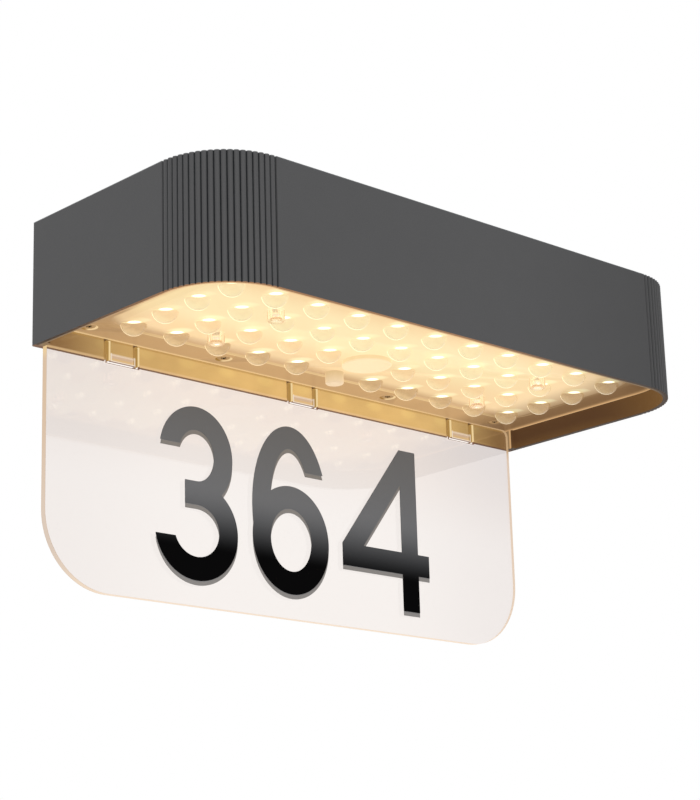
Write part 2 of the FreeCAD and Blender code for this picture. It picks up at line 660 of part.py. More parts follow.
def make_plate():
    """clear plate with three tongues, cut free at their sides, each with a nub at its lower end"""
    top = Z_FLANGE - PLATE_TOP_GAP
    low = Z_RIM - PLATE_BELOW_RIM
    half = PLATE_WIDTH / 2
    plate = box(-half, half, PLATE_FRONT, PLATE_BACK, low, top)
    for radius, level in ((PLATE_LOWER_CORNER, low), (PLATE_UPPER_CORNER, top)):
        short = [edge for edge in plate.Edges if edge.Length < PLATE_THICKNESS + OVERRUN]
        corners = [edge for edge in short if abs(edge.CenterOfMass.z - level) < OVERRUN]
        plate = plate.makeFillet(radius, corners)
    tongue_end = Z_RIM - NUB_BELOW_RIM
    cuts = []
    nubs = []
    for x in tongue_places():
        edge = TONGUE_WIDTH / 2
        for side in (-1, 1):
            inner = x + side * edge
            outer = x + side * (edge + TONGUE_SLOT)
            cuts.append(box(min(inner, outer), max(inner, outer), PLATE_FRONT - OVERRUN, PLATE_BACK + OVERRUN,
                            tongue_end - TONGUE_SLOT / 2, top - TONGUE_ROOT))
        cuts.append(box(x - edge - TONGUE_SLOT / 2, x + edge + TONGUE_SLOT / 2, PLATE_FRONT - OVERRUN,
                        PLATE_BACK + OVERRUN, tongue_end - TONGUE_SLOT / 2, tongue_end))
        nubs.append(box(x - edge, x + edge, PLATE_BACK, PLATE_BACK + NUB_DEPTH,
                        tongue_end, tongue_end + NUB_HEIGHT))
    return plate.cut(cuts).fuse(nubs).removeSplitter()


def oval(x, z, width, height):
    """upright or lying oval as thick as the film, centred at x, z"""
    centre = vec(x, 0, z)
    ends = sorted([vec(width / 2, 0, 0), vec(0, 0, height / 2)], key=lambda end: end.Length)
    outline = Part.Ellipse(centre + ends[1], centre + ends[0], centre)
    return Part.Face(Part.Wire(outline.toShape())).extrude(vec(0, NUMERAL_THICKNESS, 0))


def oval_ring(x, z, width, height, stroke):
    """band of even width round an oval"""
    return oval(x, z, width, height).cut(oval(x, z, width - 2 * stroke, height - 2 * stroke))


def film_block(x_low, x_high, z_low, z_high):
    """rectangle that cuts right through the film"""
    return box(x_low, x_high, -OVERRUN, NUMERAL_THICKNESS + OVERRUN, z_low, z_high)


def film_polygon(points):
    """straight sided figure as thick as the film"""
    return polygon_face([vec(x, 0, z) for x, z in points]).extrude(vec(0, NUMERAL_THICKNESS, 0))


def stick_on(film, x):
    """the finished figure, set on the front of the plate"""
    bottom = Z_RIM - NUMERAL_TOP_BELOW_RIM - NUMERAL_HEIGHT
    return film.removeSplitter().translated(vec(x, PLATE_FRONT - NUMERAL_THICKNESS, bottom))


# Shares of a numeral's height and width, chosen by eye for an upright grotesque figure
THREE_UPPER_SHARE = 0.50
THREE_UPPER_CUT_SHARE = 0.40
THREE_LOWER_CUT_SHARE = 0.42
THREE_TONGUE_SHARE = 0.36
SIX_BOWL_SHARE = 0.64
SIX_OPEN_SHARE = 0.74
FOUR_BAR_SHARE = 0.225
FOUR_STEM_SHARE = 0.13


def make_three(x):
    """two open bowls that share a short waist bar"""
    width, height, stroke = THREE_WIDTH, NUMERAL_HEIGHT, NUMERAL_STROKE
    upper_height = height * THREE_UPPER_SHARE + stroke / 2
    lower_height = height - upper_height + stroke
    middle = width / 2
    waist_low = height - upper_height
    waist_high = waist_low + stroke
    bar_left = width * THREE_TONGUE_SHARE
    upper = oval_ring(middle, height - upper_height / 2, width - stroke / 2, upper_height, stroke)
    lower = oval_ring(middle, lower_height / 2, width, lower_height, stroke)
    upper_cut = height - upper_height * THREE_UPPER_CUT_SHARE
    upper = upper.cut(film_block(-OVERRUN, middle, waist_low - OVERRUN, upper_cut))
    lower_cut = lower_height * THREE_LOWER_CUT_SHARE
    lower = lower.cut(film_block(-OVERRUN, middle, lower_cut, waist_high + OVERRUN))
    bar = film_polygon([(bar_left, waist_low), (middle, waist_low), (middle, waist_high),
                        (bar_left, waist_high)])
    return stick_on(upper.fuse([lower, bar]), x)


def make_six(x):
    """closed bowl with a taller open curve rising from its left side"""
    width, height, stroke = SIX_WIDTH, NUMERAL_HEIGHT, NUMERAL_STROKE
    middle = width / 2
    bowl_height = height * SIX_BOWL_SHARE
    bowl = oval(middle, bowl_height / 2, width, bowl_height)
    back = oval_ring(middle, height / 2, width, height, stroke)
    back = back.cut([film_block(middle, width + OVERRUN, -OVERRUN, height * SIX_OPEN_SHARE),
                     film_block(-OVERRUN, width + OVERRUN, -OVERRUN, bowl_height / 2)])
    eye = oval(middle, bowl_height / 2, width - 2 * stroke, bowl_height - 2 * stroke)
    return stick_on(bowl.fuse(back).cut(eye), x)


def make_four(x):
    """upright stem, level bar and a slanting stroke round a three sided eye"""
    width, height, stroke = FOUR_WIDTH, NUMERAL_HEIGHT, NUMERAL_STROKE
    bar_low = height * FOUR_BAR_SHARE
    bar_high = bar_low + stroke
    stem_right = width * (1 - FOUR_STEM_SHARE)
    stem_left = stem_right - stroke
    outer = film_polygon([(0, bar_low), (stem_left, bar_low), (stem_left, 0), (stem_right, 0),
                          (stem_right, bar_low), (width, bar_low), (width, bar_high), (stem_right, bar_high),
                          (stem_right, height), (stem_left, height), (0, bar_high)])
    slope = stem_left / (height - bar_high)
    eye_left = stroke * math.hypot(1, slope)
    eye_top = bar_high + (stem_left - eye_left) / slope
    eye = film_polygon([(eye_left, bar_high), (stem_left, bar_high), (stem_left, eye_top)])
    return stick_on(outer.cut(eye), x)


def cell_centre_z():
    return Z_DECK_UNDER - HOLDER_ROOF - CELL_GAP - CELL_DIAMETER / 2


def make_cell():
    """round cell that lies along the housing, its raised cap at the right"""
    start = CELL_CENTRE_X - CELL_LENGTH / 2
    z = cell_centre_z()
    can = Part.makeCylinder(CELL_DIAMETER / 2, CELL_LENGTH, vec(start, MIDDLE_Y, z), vec(1, 0, 0))
    end = vec(start + CELL_LENGTH, MIDDLE_Y, z)
    return can.fuse(Part.makeCylinder(CELL_CAP_DIAMETER / 2, CELL_CAP_HEIGHT, end, vec(1, 0, 0)))


def make_holder():
    """open trough over the cell, with a screw ear at each end"""
    low_x, high_x = holder_ends()
    half = CELL_DIAMETER / 2 + CELL_GAP + HOLDER_WALL
    z_cell = cell_centre_z()
    low_z = z_cell - CELL_DIAMETER * (HOLDER_SIDE_DROP_SHARE - 1 / 2)
    body = box(low_x, high_x, MIDDLE_Y - half, MIDDLE_Y + half, low_z, Z_DECK_UNDER)
    room = half - HOLDER_WALL
    body = body.cut(box(low_x + HOLDER_WALL, high_x - HOLDER_WALL, MIDDLE_Y - room, MIDDLE_Y + room,
                        low_z - OVERRUN, Z_DECK_UNDER - HOLDER_ROOF))
    ears = []
    for x, side in ((low_x, -1), (high_x, 1)):
        outer = x + side * EAR_LENGTH
        ears.append(box(min(x, outer), max(x, outer), MIDDLE_Y - EAR_WIDTH / 2,
                        MIDDLE_Y + EAR_WIDTH / 2, Z_INNER_BOSS - EAR_THICKNESS, Z_INNER_BOSS))
    body = body.fuse(ears)
    hole = INNER_SCREW_DIAMETER + 2 * SCREW_CLEARANCE
    holes = [post(x, y, Z_INNER_BOSS - EAR_THICKNESS - OVERRUN, Z_INNER_BOSS + OVERRUN, hole)
             for x, y in holder_screw_places()]
    return body.cut(holes).removeSplitter()


def make_contacts():
    """two nickel strips, bowed from the holder's end walls to the cell's ends"""
    low_x, high_x = holder_ends()
    z = cell_centre_z()
    cell_low = CELL_CENTRE_X - CELL_LENGTH / 2
    cell_high = CELL_CENTRE_X + CELL_LENGTH / 2 + CELL_CAP_HEIGHT
    strips = []
    for wall_x, cell_x in ((low_x + HOLDER_WALL, cell_low), (high_x - HOLDER_WALL, cell_high)):
        lean = math.copysign(CONTACT_THICKNESS, cell_x - wall_x)
        top, bottom = z + CONTACT_HEIGHT / 2, z - CONTACT_HEIGHT / 2
        near, far = cell_x - lean, wall_x + lean
        half_flat = CELL_CAP_DIAMETER / 2
        outline = [(wall_x, top), (far, top), (cell_x, z + half_flat), (cell_x, z - half_flat), (far, bottom),
                   (wall_x, bottom), (near, z - half_flat), (near, z + half_flat)]
        face = polygon_face([vec(px, MIDDLE_Y - CONTACT_WIDTH / 2, pz) for px, pz in outline])
        strips.append(face.extrude(vec(0, CONTACT_WIDTH, 0)))
    return Part.makeCompound(strips)


def inner_screws(places, plate_thickness):
    seat = Z_INNER_BOSS - plate_thickness
    return Part.makeCompound([pan_screw(x, y, seat, 1, INNER_SCREW_DIAMETER, INNER_SCREW_HEAD,
                                        INNER_SCREW_HEAD_HEIGHT, INNER_SCREW_LENGTH) for x, y in places])


def make_control_board():
    x, y = CONTROL_CENTRE_X, MIDDLE_Y
    board = box(x - CONTROL_WIDTH / 2, x + CONTROL_WIDTH / 2, y - CONTROL_LENGTH / 2, y + CONTROL_LENGTH / 2,
                Z_INNER_BOSS - CONTROL_THICKNESS, Z_INNER_BOSS)
    return board.cut([post(px, py, Z_INNER_BOSS - CONTROL_THICKNESS - OVERRUN, Z_INNER_BOSS + OVERRUN,
                           INNER_SCREW_DIAMETER + 2 * SCREW_CLEARANCE) for px, py in control_screw_places()])


def battery_socket_face():
    """side of the battery socket that takes its lead, at the board's left edge"""
    return CONTROL_CENTRE_X - CONTROL_WIDTH / 2


def control_underside():
    return Z_INNER_BOSS - CONTROL_THICKNESS


def light_socket_x():
    return CONTROL_CENTRE_X + SOCKET_LENGTH


def make_sockets():
    """lead sockets under the control board and one on top of the light board"""
    z = control_underside()
    x = battery_socket_face()
    y = MIDDLE_Y
    across = SOCKET_LENGTH / 2
    battery = box(x, x + SOCKET_WIDTH, y - across, y + across, z - SOCKET_HEIGHT, z)
    sockets = [battery]
    for x, low in ((light_socket_x(), z - SOCKET_HEIGHT), (light_socket_x() + LEAD_SWING, Z_BOARD_TOP)):
        sockets.append(box(x - SOCKET_WIDTH / 2, x + SOCKET_WIDTH / 2, y - across, y + across,
                           low, low + SOCKET_HEIGHT))
    return Part.makeCompound(sockets)


def make_control_parts():
    """charging coil, two capacitors and the control chip"""
    z = control_underside()
    x, y = CONTROL_CENTRE_X, MIDDLE_Y
    row = CONTROL_LENGTH / 4
    coil = post(x - row, y + row, z - COIL_HEIGHT, z, COIL_DIAMETER)
    capacitors = [post(x + side * row, y - row, z - CAPACITOR_HEIGHT, z, CAPACITOR_DIAMETER)
                  for side in (-1, 1)]
    chip = box(x + row, x + row + CHIP_SIDE, y + row - CHIP_SIDE / 2, y + row + CHIP_SIDE / 2,
               z - CHIP_HEIGHT, z)
    return Part.makeCompound([coil, chip] + capacitors)


def make_grommet():
    x, y = lead_hole_place()
    body = post(x, y, Z_DECK_UNDER, Z_DECK, GROMMET_DIAMETER)
    flange = post(x, y, Z_DECK_UNDER - GROMMET_FLANGE_HEIGHT, Z_DECK_UNDER, GROMMET_FLANGE)
    bore = post(x, y, Z_DECK_UNDER - GROMMET_FLANGE_HEIGHT - OVERRUN, Z_DECK + OVERRUN, GROMMET_BORE)
    return body.fuse(flange).cut(bore)


def bent_lead(points):
    """round lead along straight runs joined by tangent arcs"""
    edges = []
    last = points[0]
    for before, corner, after in zip(points, points[1:], points[2:]):
        into = (corner - before).normalize()
        out = (after - corner).normalize()
        half_turn = into.getAngle(out) / 2
        room = min((corner - before).Length, (after - corner).Length) * LEAD_BEND_ROOM_SHARE
        back = min(LEAD_BEND * math.tan(half_turn), room)
        bend = back / math.tan(half_turn)
        start, end = corner - into * back, corner + out * back
        inward = (out - into).normalize()
        middle = corner + inward * (bend / math.cos(half_turn) - bend)
        edges += [Part.makeLine(last, start), Part.Arc(start, middle, end).toShape()]
        last = end
    edges.append(Part.makeLine(last, points[-1]))
    path = Part.Wire(edges)
    section = Part.Wire(Part.makeCircle(LEAD_DIAMETER / 2, points[0], points[1] - points[0]))
    return path.makePipeShell([section], True, False)


def lead_pair(points):
    """two leads side by side, one along +Y and one along -Y of the route"""
    offsets = [vec(0, side * LEAD_PITCH / 2, 0) for side in (-1, 1)]
    return Part.makeCompound([bent_lead([point + offset for point in points]) for offset in offsets])


def make_panel_leads():
    """straight drop from the panel's back to the control board"""
    x, y = lead_hole_place()
    return Part.makeCompound([post(x, y + side * LEAD_PITCH / 2, Z_INNER_BOSS, Z_PANEL, LEAD_DIAMETER)
                              for side in (-1, 1)])


def make_battery_leads():
    """from the holder's end wall to the socket at the edge of the control board"""
    start_x = holder_ends()[1]
    end_x = battery_socket_face()
    span = end_x - start_x
    z_start = cell_centre_z() - CONTACT_HEIGHT / 4
    z_end = control_underside() - SOCKET_HEIGHT / 2
    y = MIDDLE_Y
    third = span / 3
    return lead_pair([vec(start_x, y, z_start), vec(start_x + third, y, z_start),
                      vec(end_x - third, y, z_end), vec(end_x, y, z_end)])


def make_light_leads():
    """from the socket under the control board down to the one on the light board"""
    x, y = light_socket_x(), MIDDLE_Y
    top = control_underside() - SOCKET_HEIGHT
    bottom = Z_BOARD_TOP + SOCKET_HEIGHT
    quarter = (top - bottom) / 4
    return lead_pair([vec(x, y, top), vec(x, y, top - quarter), vec(x + LEAD_SWING, y, bottom + quarter),
                      vec(x + LEAD_SWING, y, bottom)])


def build():
    first_x = NUMERAL_LEFT
    second_x = first_x + THREE_WIDTH + NUMERAL_GAP
    third_x = second_x + SIX_WIDTH + NUMERAL_GAP
    return {
        "housing": make_housing(),
        "solar_panel": make_panel(),
        "panel_tape": make_panel_tape(),
        "lens_cover": make_cover(),
        "cover_seal": make_cover_seal(),
        "cover_screws": make_cover_screws(),
        "light_board": make_light_board(),
        "lights": make_lights(),
        "light_board_screws": make_board_screws(),
        "push_switch": make_switch(),
        "switch_plunger": make_plunger(),
        "button_cap": make_button(),
        "motion_sensor": make_sensor(),
        "sensor_window": make_window(),
        "number_plate": make_plate(),
        "numeral_three": make_three(first_x),
        "numeral_six": make_six(second_x),
        "numeral_four": make_four(third_x),
        "battery_cell": make_cell(),
        "battery_holder": make_holder(),
        "battery_contacts": make_contacts(),
        "holder_screws": inner_screws(holder_screw_places(), EAR_THICKNESS),
        "control_board": make_control_board(),
        "control_board_screws": inner_screws(control_screw_places(), CONTROL_THICKNESS),
        "control_parts": make_control_parts(),
        "lead_sockets": make_sockets(),
        "lead_grommet": make_grommet(),
        "panel_leads": make_panel_leads(),
        "battery_leads": make_battery_leads(),
        "light_leads": make_light_leads(),
    }


os.makedirs("parts", exist_ok=True)
for name, shape in build().items():
    if not shape.isValid():
        raise ValueError(name + " is not a valid solid")
    print(name, len(shape.Solids), "solids", round(shape.Volume, 1), "mm3")
    shape.exportStep("parts/" + name + ".step")
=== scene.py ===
import bmesh
import bpy
import math
import numpy as np
from mathutils import Matrix, Vector


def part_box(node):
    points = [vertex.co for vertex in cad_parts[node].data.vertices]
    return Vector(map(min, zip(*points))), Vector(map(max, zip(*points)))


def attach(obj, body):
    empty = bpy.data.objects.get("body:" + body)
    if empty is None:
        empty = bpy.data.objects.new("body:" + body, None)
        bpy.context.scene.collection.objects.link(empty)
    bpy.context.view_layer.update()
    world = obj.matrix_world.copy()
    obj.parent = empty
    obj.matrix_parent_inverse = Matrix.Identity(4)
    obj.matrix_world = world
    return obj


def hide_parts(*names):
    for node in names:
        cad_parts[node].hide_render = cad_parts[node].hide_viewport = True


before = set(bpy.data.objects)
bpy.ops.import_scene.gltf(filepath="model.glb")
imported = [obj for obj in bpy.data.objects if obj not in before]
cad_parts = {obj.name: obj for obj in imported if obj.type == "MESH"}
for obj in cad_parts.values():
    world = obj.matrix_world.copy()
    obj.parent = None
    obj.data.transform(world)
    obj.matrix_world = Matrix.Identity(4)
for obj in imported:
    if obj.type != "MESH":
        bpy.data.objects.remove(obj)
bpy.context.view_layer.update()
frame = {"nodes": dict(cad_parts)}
nodes = frame["nodes"]

# Housing. One moulding of dark grey plastic with a fine grained paint, its two front corners ribbed.
# Under the lens cover its walls stand in the warm light: the rear wall glows gold, the sides brown.
MM = 0.001
LOW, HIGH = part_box("housing")
HALF_WIDTH = HIGH.x / MM
DEPTH = -LOW.y / MM
RIM = LOW.z / MM
TOP = HIGH.z / MM
CORNER = 27.5
REAR_WALL = 1.6
FLANGE = -17.0


def shade(red, green, blue):
    """screen colour, 0 to 255, as the linear colour that a shader takes, by the curve of sRGB"""
    parts = np.array([red, green, blue]) / 255
    linear = np.where(parts <= 0.04045, parts / 12.92, ((parts + 0.055) / 1.055) ** 2.4)
    return (*linear.tolist(), 1.0)


BLACK = shade(0, 0, 0)
LIT_BASE = shade(60, 50, 40)
LIT_ROUGHNESS = 0.4
LIT_STRENGTH = 0.95


class Reading:
    """A number or colour that a shader node gives. A sum on readings adds Math nodes to their tree."""

    def __init__(self, nodes, socket):
        self.nodes = nodes
        self.socket = socket

    def maths(self, operation, *values):
        return self.nodes.node("Math", {"operation": operation}, dict(enumerate(values)))

    def __add__(self, other):
        return self.maths("ADD", self, other)

    def __radd__(self, other):
        return self.maths("ADD", other, self)

    def __sub__(self, other):
        return self.maths("SUBTRACT", self, other)

    def __rsub__(self, other):
        return self.maths("SUBTRACT", other, self)

    def __mul__(self, other):
        return self.maths("MULTIPLY", self, other)

    def __rmul__(self, other):
        return self.maths("MULTIPLY", other, self)

    def __truediv__(self, other):
        return self.maths("DIVIDE", self, other)

    def __pow__(self, other):
        return self.maths("POWER", self, other)

    def __abs__(self):
        return self.maths("ABSOLUTE", self)

    def sign(self):
        return self.maths("SIGN", self)

    def most(self, other):
        return self.maths("MAXIMUM", self, other)

    def least(self, other):
        return self.maths("MINIMUM", self, other)

    def above(self, least):
        """the reading, from 0 to 1, made to run from the least value to 1"""
        return least + (1 - least) * self

    def to_grid(self, pitch):
        """signed distance from the nearest whole number of pitches"""
        return self.maths("WRAP", self, pitch / 2, -pitch / 2)

    def rise(self, low, high):
        """smooth step from 0 at low to 1 at high"""
        return self.nodes.node("MapRange", {"interpolation_type": "SMOOTHSTEP"},
                               {"Value": self, "From Min": low, "From Max": high})

    def fall(self, low, high):
        """smooth step from 1 at low to 0 at high"""
        return 1 - self.rise(low, high)


class Nodes:
    """The node tree of a material or of the world. One method makes every kind of node."""

    def __init__(self, tree):
        self.tree = tree

    def node(self, kind, settings, sockets, output=0):
        """one shader node: its settings are set first, then the values or links of its sockets"""
        node = self.tree.nodes.new("ShaderNode" + kind)
        for setting, value in settings.items():
            setattr(node, setting, value)
        for socket, value in sockets.items():
            self.feed(node.inputs[socket], value)
        return Reading(self, node.outputs[output])

    def feed(self, socket, value):
        if isinstance(value, Reading):
            self.tree.links.new(value.socket, socket)
        else:
            socket.default_value = value


class Finish(Nodes):
    """The finish of one piece: a Principled shader whose constants are set on its own sockets."""

    def __init__(self, name, **constants):
        self.material = bpy.data.materials.new(name)
        self.material.use_nodes = True
        super().__init__(self.material.node_tree)
        self.shader = self.tree.nodes["Principled BSDF"]
        for name, value in constants.items():
            socket = name.replace("_", " ").title().replace("Ior", "IOR")
            self.shader.inputs[socket].default_value = value

    def paint(self, socket, value):
        self.feed(self.shader.inputs[socket], value)

    def place(self):
        """the three object coordinates, in millimetres"""
        spot = self.node("TexCoord", {}, {}, "Object")
        axes = self.node("SeparateXYZ", {}, {0: spot}).socket.node.outputs
        return [Reading(self, axis) / MM for axis in axes]

    def speckle(self, size, detail=2.0, stretch=(1, 1, 1)):
        """noise from 0 to 1 with grains of about one size, in millimetres"""
        spot = self.node("TexCoord", {}, {}, "Object")
        spread = self.node("Mapping", {}, {0: spot, "Scale": [share / (size * MM) for share in stretch]})
        return self.node("TexNoise", {}, {"Vector": spread, "Scale": 1.0, "Detail": detail})

    def mix(self, mask, first, second):
        """colour that goes from first to second as the mask goes from 0 to 1"""
        return self.node("Mix", {"data_type": "RGBA"}, {0: mask, 6: first, 7: second}, 2)

    def tone(self, colour, factor):
        """colour made lighter or darker by a factor"""
        plain = colour if isinstance(colour, Reading) else colour[:3]
        return self.node("VectorMath", {"operation": "SCALE"}, {0: plain, "Scale": factor})

    def speckled(self, colour, size, least, spread, detail=2.0):
        """colour whose grains, of about one size, are toned from the least factor up by the spread"""
        return self.tone(colour, least + spread * self.speckle(size, detail))

    def lit(self, colour):
        """a second shader, opaque, that glows in the colour"""
        sockets = {"Base Color": LIT_BASE, "Roughness": LIT_ROUGHNESS, "Emission Color": colour,
                   "Emission Strength": LIT_STRENGTH}
        return self.node("BsdfPrincipled", {}, sockets)

    def lay(self, *layers):
        """lays further shaders over the material's own, each where its mask is 1"""
        top = Reading(self, self.shader.outputs[0])
        for mask, layer in layers:
            top = self.node("MixShader", {}, {0: mask, 1: top, 2: layer})
        self.feed(self.tree.nodes["Material Output"].inputs["Surface"], top)

    def bump(self, height, depth):
        """relief of the given depth in millimetres"""
        self.paint("Normal", self.node("Bump", {}, {"Height": height, "Distance": depth * MM}))

    def wear(self, *pieces):
        """gives the finish to every slot of the pieces, or to a first one where there is none"""
        for piece in pieces:
            slots = piece.data.materials
            for index in range(len(slots)):
                slots[index] = self.material
            if not slots:
                slots.append(self.material)


def distance(along, out):
    """distance from a point, given how far off it is along two axes"""
    return (along ** 2 + out ** 2) ** 0.5


def edge_inset(x, y, half, front, rear, corner):
    """distance inward from the outline of a rectangle with rounded corners, seen from above"""
    beyond_x = abs(x) - (half - corner)
    beyond_y = abs(y - (front + rear) / 2) - ((rear - front) / 2 - corner)
    return corner - distance(beyond_x.most(0), beyond_y.most(0)) - beyond_x.most(beyond_y).least(0)


def in_oval(along, over, centre, half):
    """0 at the centre of an oval, 1 on its edge and more outside, from two readings"""
    return ((along - centre[0]) / half[0]) ** 2 + ((over - centre[1]) / half[1]) ** 2


# Spans, in millimetres, over which one face of the housing gives way to the next
WALL_MIDDLE = (0.9, 1.2)
REAR_SKIN = (-0.9, -0.6)
GROOVE_FLOOR = (0.3, 0.7)
GROOVE_START = (RIM + 0.02, RIM + 0.1)
RIM_FACE = (RIM + 0.02, RIM + 0.08)
UNDER_FLANGE = (FLANGE - 0.2, FLANGE + 0.2)
TOP_BEVEL = (TOP - 0.35, TOP - 0.15)
REAR_FACE = (-REAR_WALL - 0.2, -REAR_WALL - 0.05)

# The paint: grainy; painted shade towards the far right end and in the grooves; a painted highlight on the
# top edge
PAINT = shade(76, 76, 77)
GROOVE_SHADE = shade(38, 42, 45)
TOP_EDGE_HIGHLIGHT = shade(112, 113, 115)
INNER_LAMPLIT = shade(58, 40, 24)
PAINT_TONE = 0.88
GRAIN_TONE = 0.26
GRAIN_DEPTH = 0.02
CLOUD_TONE = 0.06
FAR_SHADE_END = (-10, 150)
FAR_SHADE_TONE = 0.36
GROOVE_SHADE_SHARE = 0.85

housing_paint = Finish("housing_paint", roughness=0.55, specular_ior_level=0.25, emission_strength=1.0)
x, y, z = housing_paint.place()
# The outline is mirrored in the wall's plane, so that only its front corners are round
inset = edge_inset(x, y, HALF_WIDTH, -DEPTH, DEPTH, CORNER)
outside = inset.fall(*WALL_MIDDLE).most(y.rise(*REAR_SKIN))
groove = inset.rise(*GROOVE_FLOOR) * outside * z.rise(*GROOVE_START)
rim = z.fall(*RIM_FACE)
under = ((1 - outside) * z.fall(*UNDER_FLANGE)).most(rim)
grain = housing_paint.speckle(size=0.45)
cloud = housing_paint.speckle(size=9.0)
# painted shade: the paint turns darker towards the far right end
grain_and_shade_tone = PAINT_TONE + GRAIN_TONE * grain + CLOUD_TONE * cloud - FAR_SHADE_TONE * x.rise(*FAR_SHADE_END)
colour = housing_paint.tone(PAINT, grain_and_shade_tone)
# painted shade in the grooves between the ribs
colour = housing_paint.mix(groove * GROOVE_SHADE_SHARE, colour, GROOVE_SHADE)
# painted highlight along the top edge
colour = housing_paint.mix(z.rise(*TOP_BEVEL) * outside, colour, TOP_EDGE_HIGHLIGHT)
# painted warm light: under the cover and on the rim the base colour is brown, not the grey paint
housing_paint.paint("Base Color", housing_paint.mix(under, colour, INNER_LAMPLIT))
housing_paint.bump(grain, GRAIN_DEPTH)

# Light on the rear wall: gold, with a brighter patch under each column of lights, dimmer at its ends and
# along its top, bright along its foot. Behind the gaps beside the plate's tongues it lies in shade.
REAR_GLOW = shade(236, 202, 130)
REAR_SPOT = shade(252, 222, 142)
REAR_END = shade(140, 108, 68)
REAR_TOP = shade(186, 148, 80)
REAR_FOOT = shade(244, 212, 160)
REAR_GAP = shade(176, 138, 78)
REAR_DEEP = shade(84, 56, 24)
TONGUE_HALF = 5.8
TONGUE_SLOT = 1.8
TONGUE_MIDDLE = 2.6
TONGUE_PITCH = 89.5
COLUMN_PITCH = 19.6
SPOT_SHIFT = 3.3
REAR_SPOT_CENTRE = (0.0, -19.2)
REAR_SPOT_HALF = (4.5, 2.2)
REAR_SPOT_FADE = (0, 1.5)
REAR_SPOT_SHARE = 0.6
REAR_RIGHT_END = (76, 124)
REAR_LEFT_END = (-120, -88)
REAR_LEFT_END_SHARE = 0.6
REAR_LEFT_SPAN = (-110, -30)
REAR_TOP_SPAN = (FLANGE - 1.1, FLANGE - 0.5)
REAR_TOP_SHARE = 0.7
GAP_EDGE = (TONGUE_SLOT / 2 - 0.1, TONGUE_SLOT / 2 + 0.3)
GAP_TOP = (FLANGE - 2.0, FLANGE - 1.2)
FOOT_SPAN = (RIM + 0.6, RIM + 1.3)
FOOT_AT_GAPS = (RIM + 0.6, RIM + 0.9)
FOOT_RIGHT = (60, 120)
FOOT_SHARE = 0.75


def rear_light(finish, x, z):
    """colour of the rear wall's light, from the place along the wall and the height"""
    spots = in_oval((x - SPOT_SHIFT).to_grid(COLUMN_PITCH), z, REAR_SPOT_CENTRE, REAR_SPOT_HALF)
    light = finish.mix(spots.fall(*REAR_SPOT_FADE) * REAR_SPOT_SHARE, REAR_GLOW, REAR_SPOT)
    left_end = REAR_LEFT_END_SHARE * x.fall(*REAR_LEFT_END)
    left_end = left_end + (1 - REAR_LEFT_END_SHARE) * x.fall(*REAR_LEFT_SPAN)
    light = finish.mix(x.rise(*REAR_RIGHT_END).most(left_end), light, REAR_END)
    light = finish.mix(z.rise(*REAR_TOP_SPAN) * REAR_TOP_SHARE, light, REAR_TOP)
    from_slot = abs(abs((x - TONGUE_MIDDLE).to_grid(TONGUE_PITCH)) - TONGUE_HALF - TONGUE_SLOT / 2)
    gap = from_slot.fall(*GAP_EDGE)
    light = finish.mix(gap, light, finish.mix(z.rise(*GAP_TOP), REAR_GAP, REAR_DEEP))
    foot = z.fall(*FOOT_SPAN) * (1 - gap * z.rise(*FOOT_AT_GAPS))
    light = finish.mix(foot * x.fall(*FOOT_RIGHT) * FOOT_SHARE, light, REAR_FOOT)
    return finish.speckled(light, size=14.0, least=0.84, spread=0.3, detail=1.0)


# Light on the side walls: brown, warmer towards the front and the rim, with a lit line beside the plate
SIDE_GLOW = shade(106, 76, 40)
SIDE_DIM = shade(74, 50, 30)
SIDE_REAR = shade(140, 112, 78)
CORNER_LINE = shade(200, 160, 112)
SIDE_FRONT = (-95, -50)
SIDE_FOOT = (RIM, FLANGE - 4)
SIDE_FOOT_SHARE = 0.4
CORNER_LINE_FRONT = (-5.8, -5.6)
CORNER_LINE_REAR = (-4.8, -4.6)


def side_light(finish, y, z):
    """colour of the side walls' light, from the distance to the wall and the height"""
    warm = y.fall(*SIDE_FRONT).most(z.fall(*SIDE_FOOT) * SIDE_FOOT_SHARE)
    light = finish.mix(warm, SIDE_DIM, SIDE_GLOW)
    light = finish.mix(y.rise(*CORNER_LINE_FRONT), light, CORNER_LINE)
    return finish.mix(y.rise(*CORNER_LINE_REAR), light, SIDE_REAR)


# Light on the rim's underside: a lit inner line, brightest at the front left, and a dull rear stretch
RIM_LIT = shade(150, 108, 72)
RIM_DARK = shade(32, 24, 18)
RIM_REAR = shade(104, 72, 48)
RIM_INNER = shade(228, 188, 138)
RIM_FRONT_SPAN = (-104, -8)
RIM_LEFT_SPAN = (-20, 80)
RIM_LINE = (1.1, 1.5)
RIM_LINE_END = (90, 115)
RIM_LINE_SHARE = 0.25
RIM_REAR_SPAN = (-3, -2)


def rim_light(finish, x, y, inset):
    """colour of the rim's underside, from its place seen from above and its inset from the outline"""
    warm = y.fall(*RIM_FRONT_SPAN) * x.fall(*RIM_LEFT_SPAN)
    light = finish.mix(warm, RIM_DARK, RIM_LIT)
    line = inset.rise(*RIM_LINE) * warm.above(RIM_LINE_SHARE) * x.fall(*RIM_LINE_END)
    light = finish.mix(line, light, RIM_INNER)
    return finish.mix(y.rise(*RIM_REAR_SPAN), light, RIM_REAR)


side = side_light(housing_paint, y, z)
glow = housing_paint.mix(y.rise(*REAR_FACE), side, rear_light(housing_paint, x, z))
glow = housing_paint.mix(under, BLACK, glow)
glow = housing_paint.mix(rim, glow, rim_light(housing_paint, x, y, inset))
housing_paint.paint("Emission Color", glow)
housing_paint.wear(nodes["housing"])

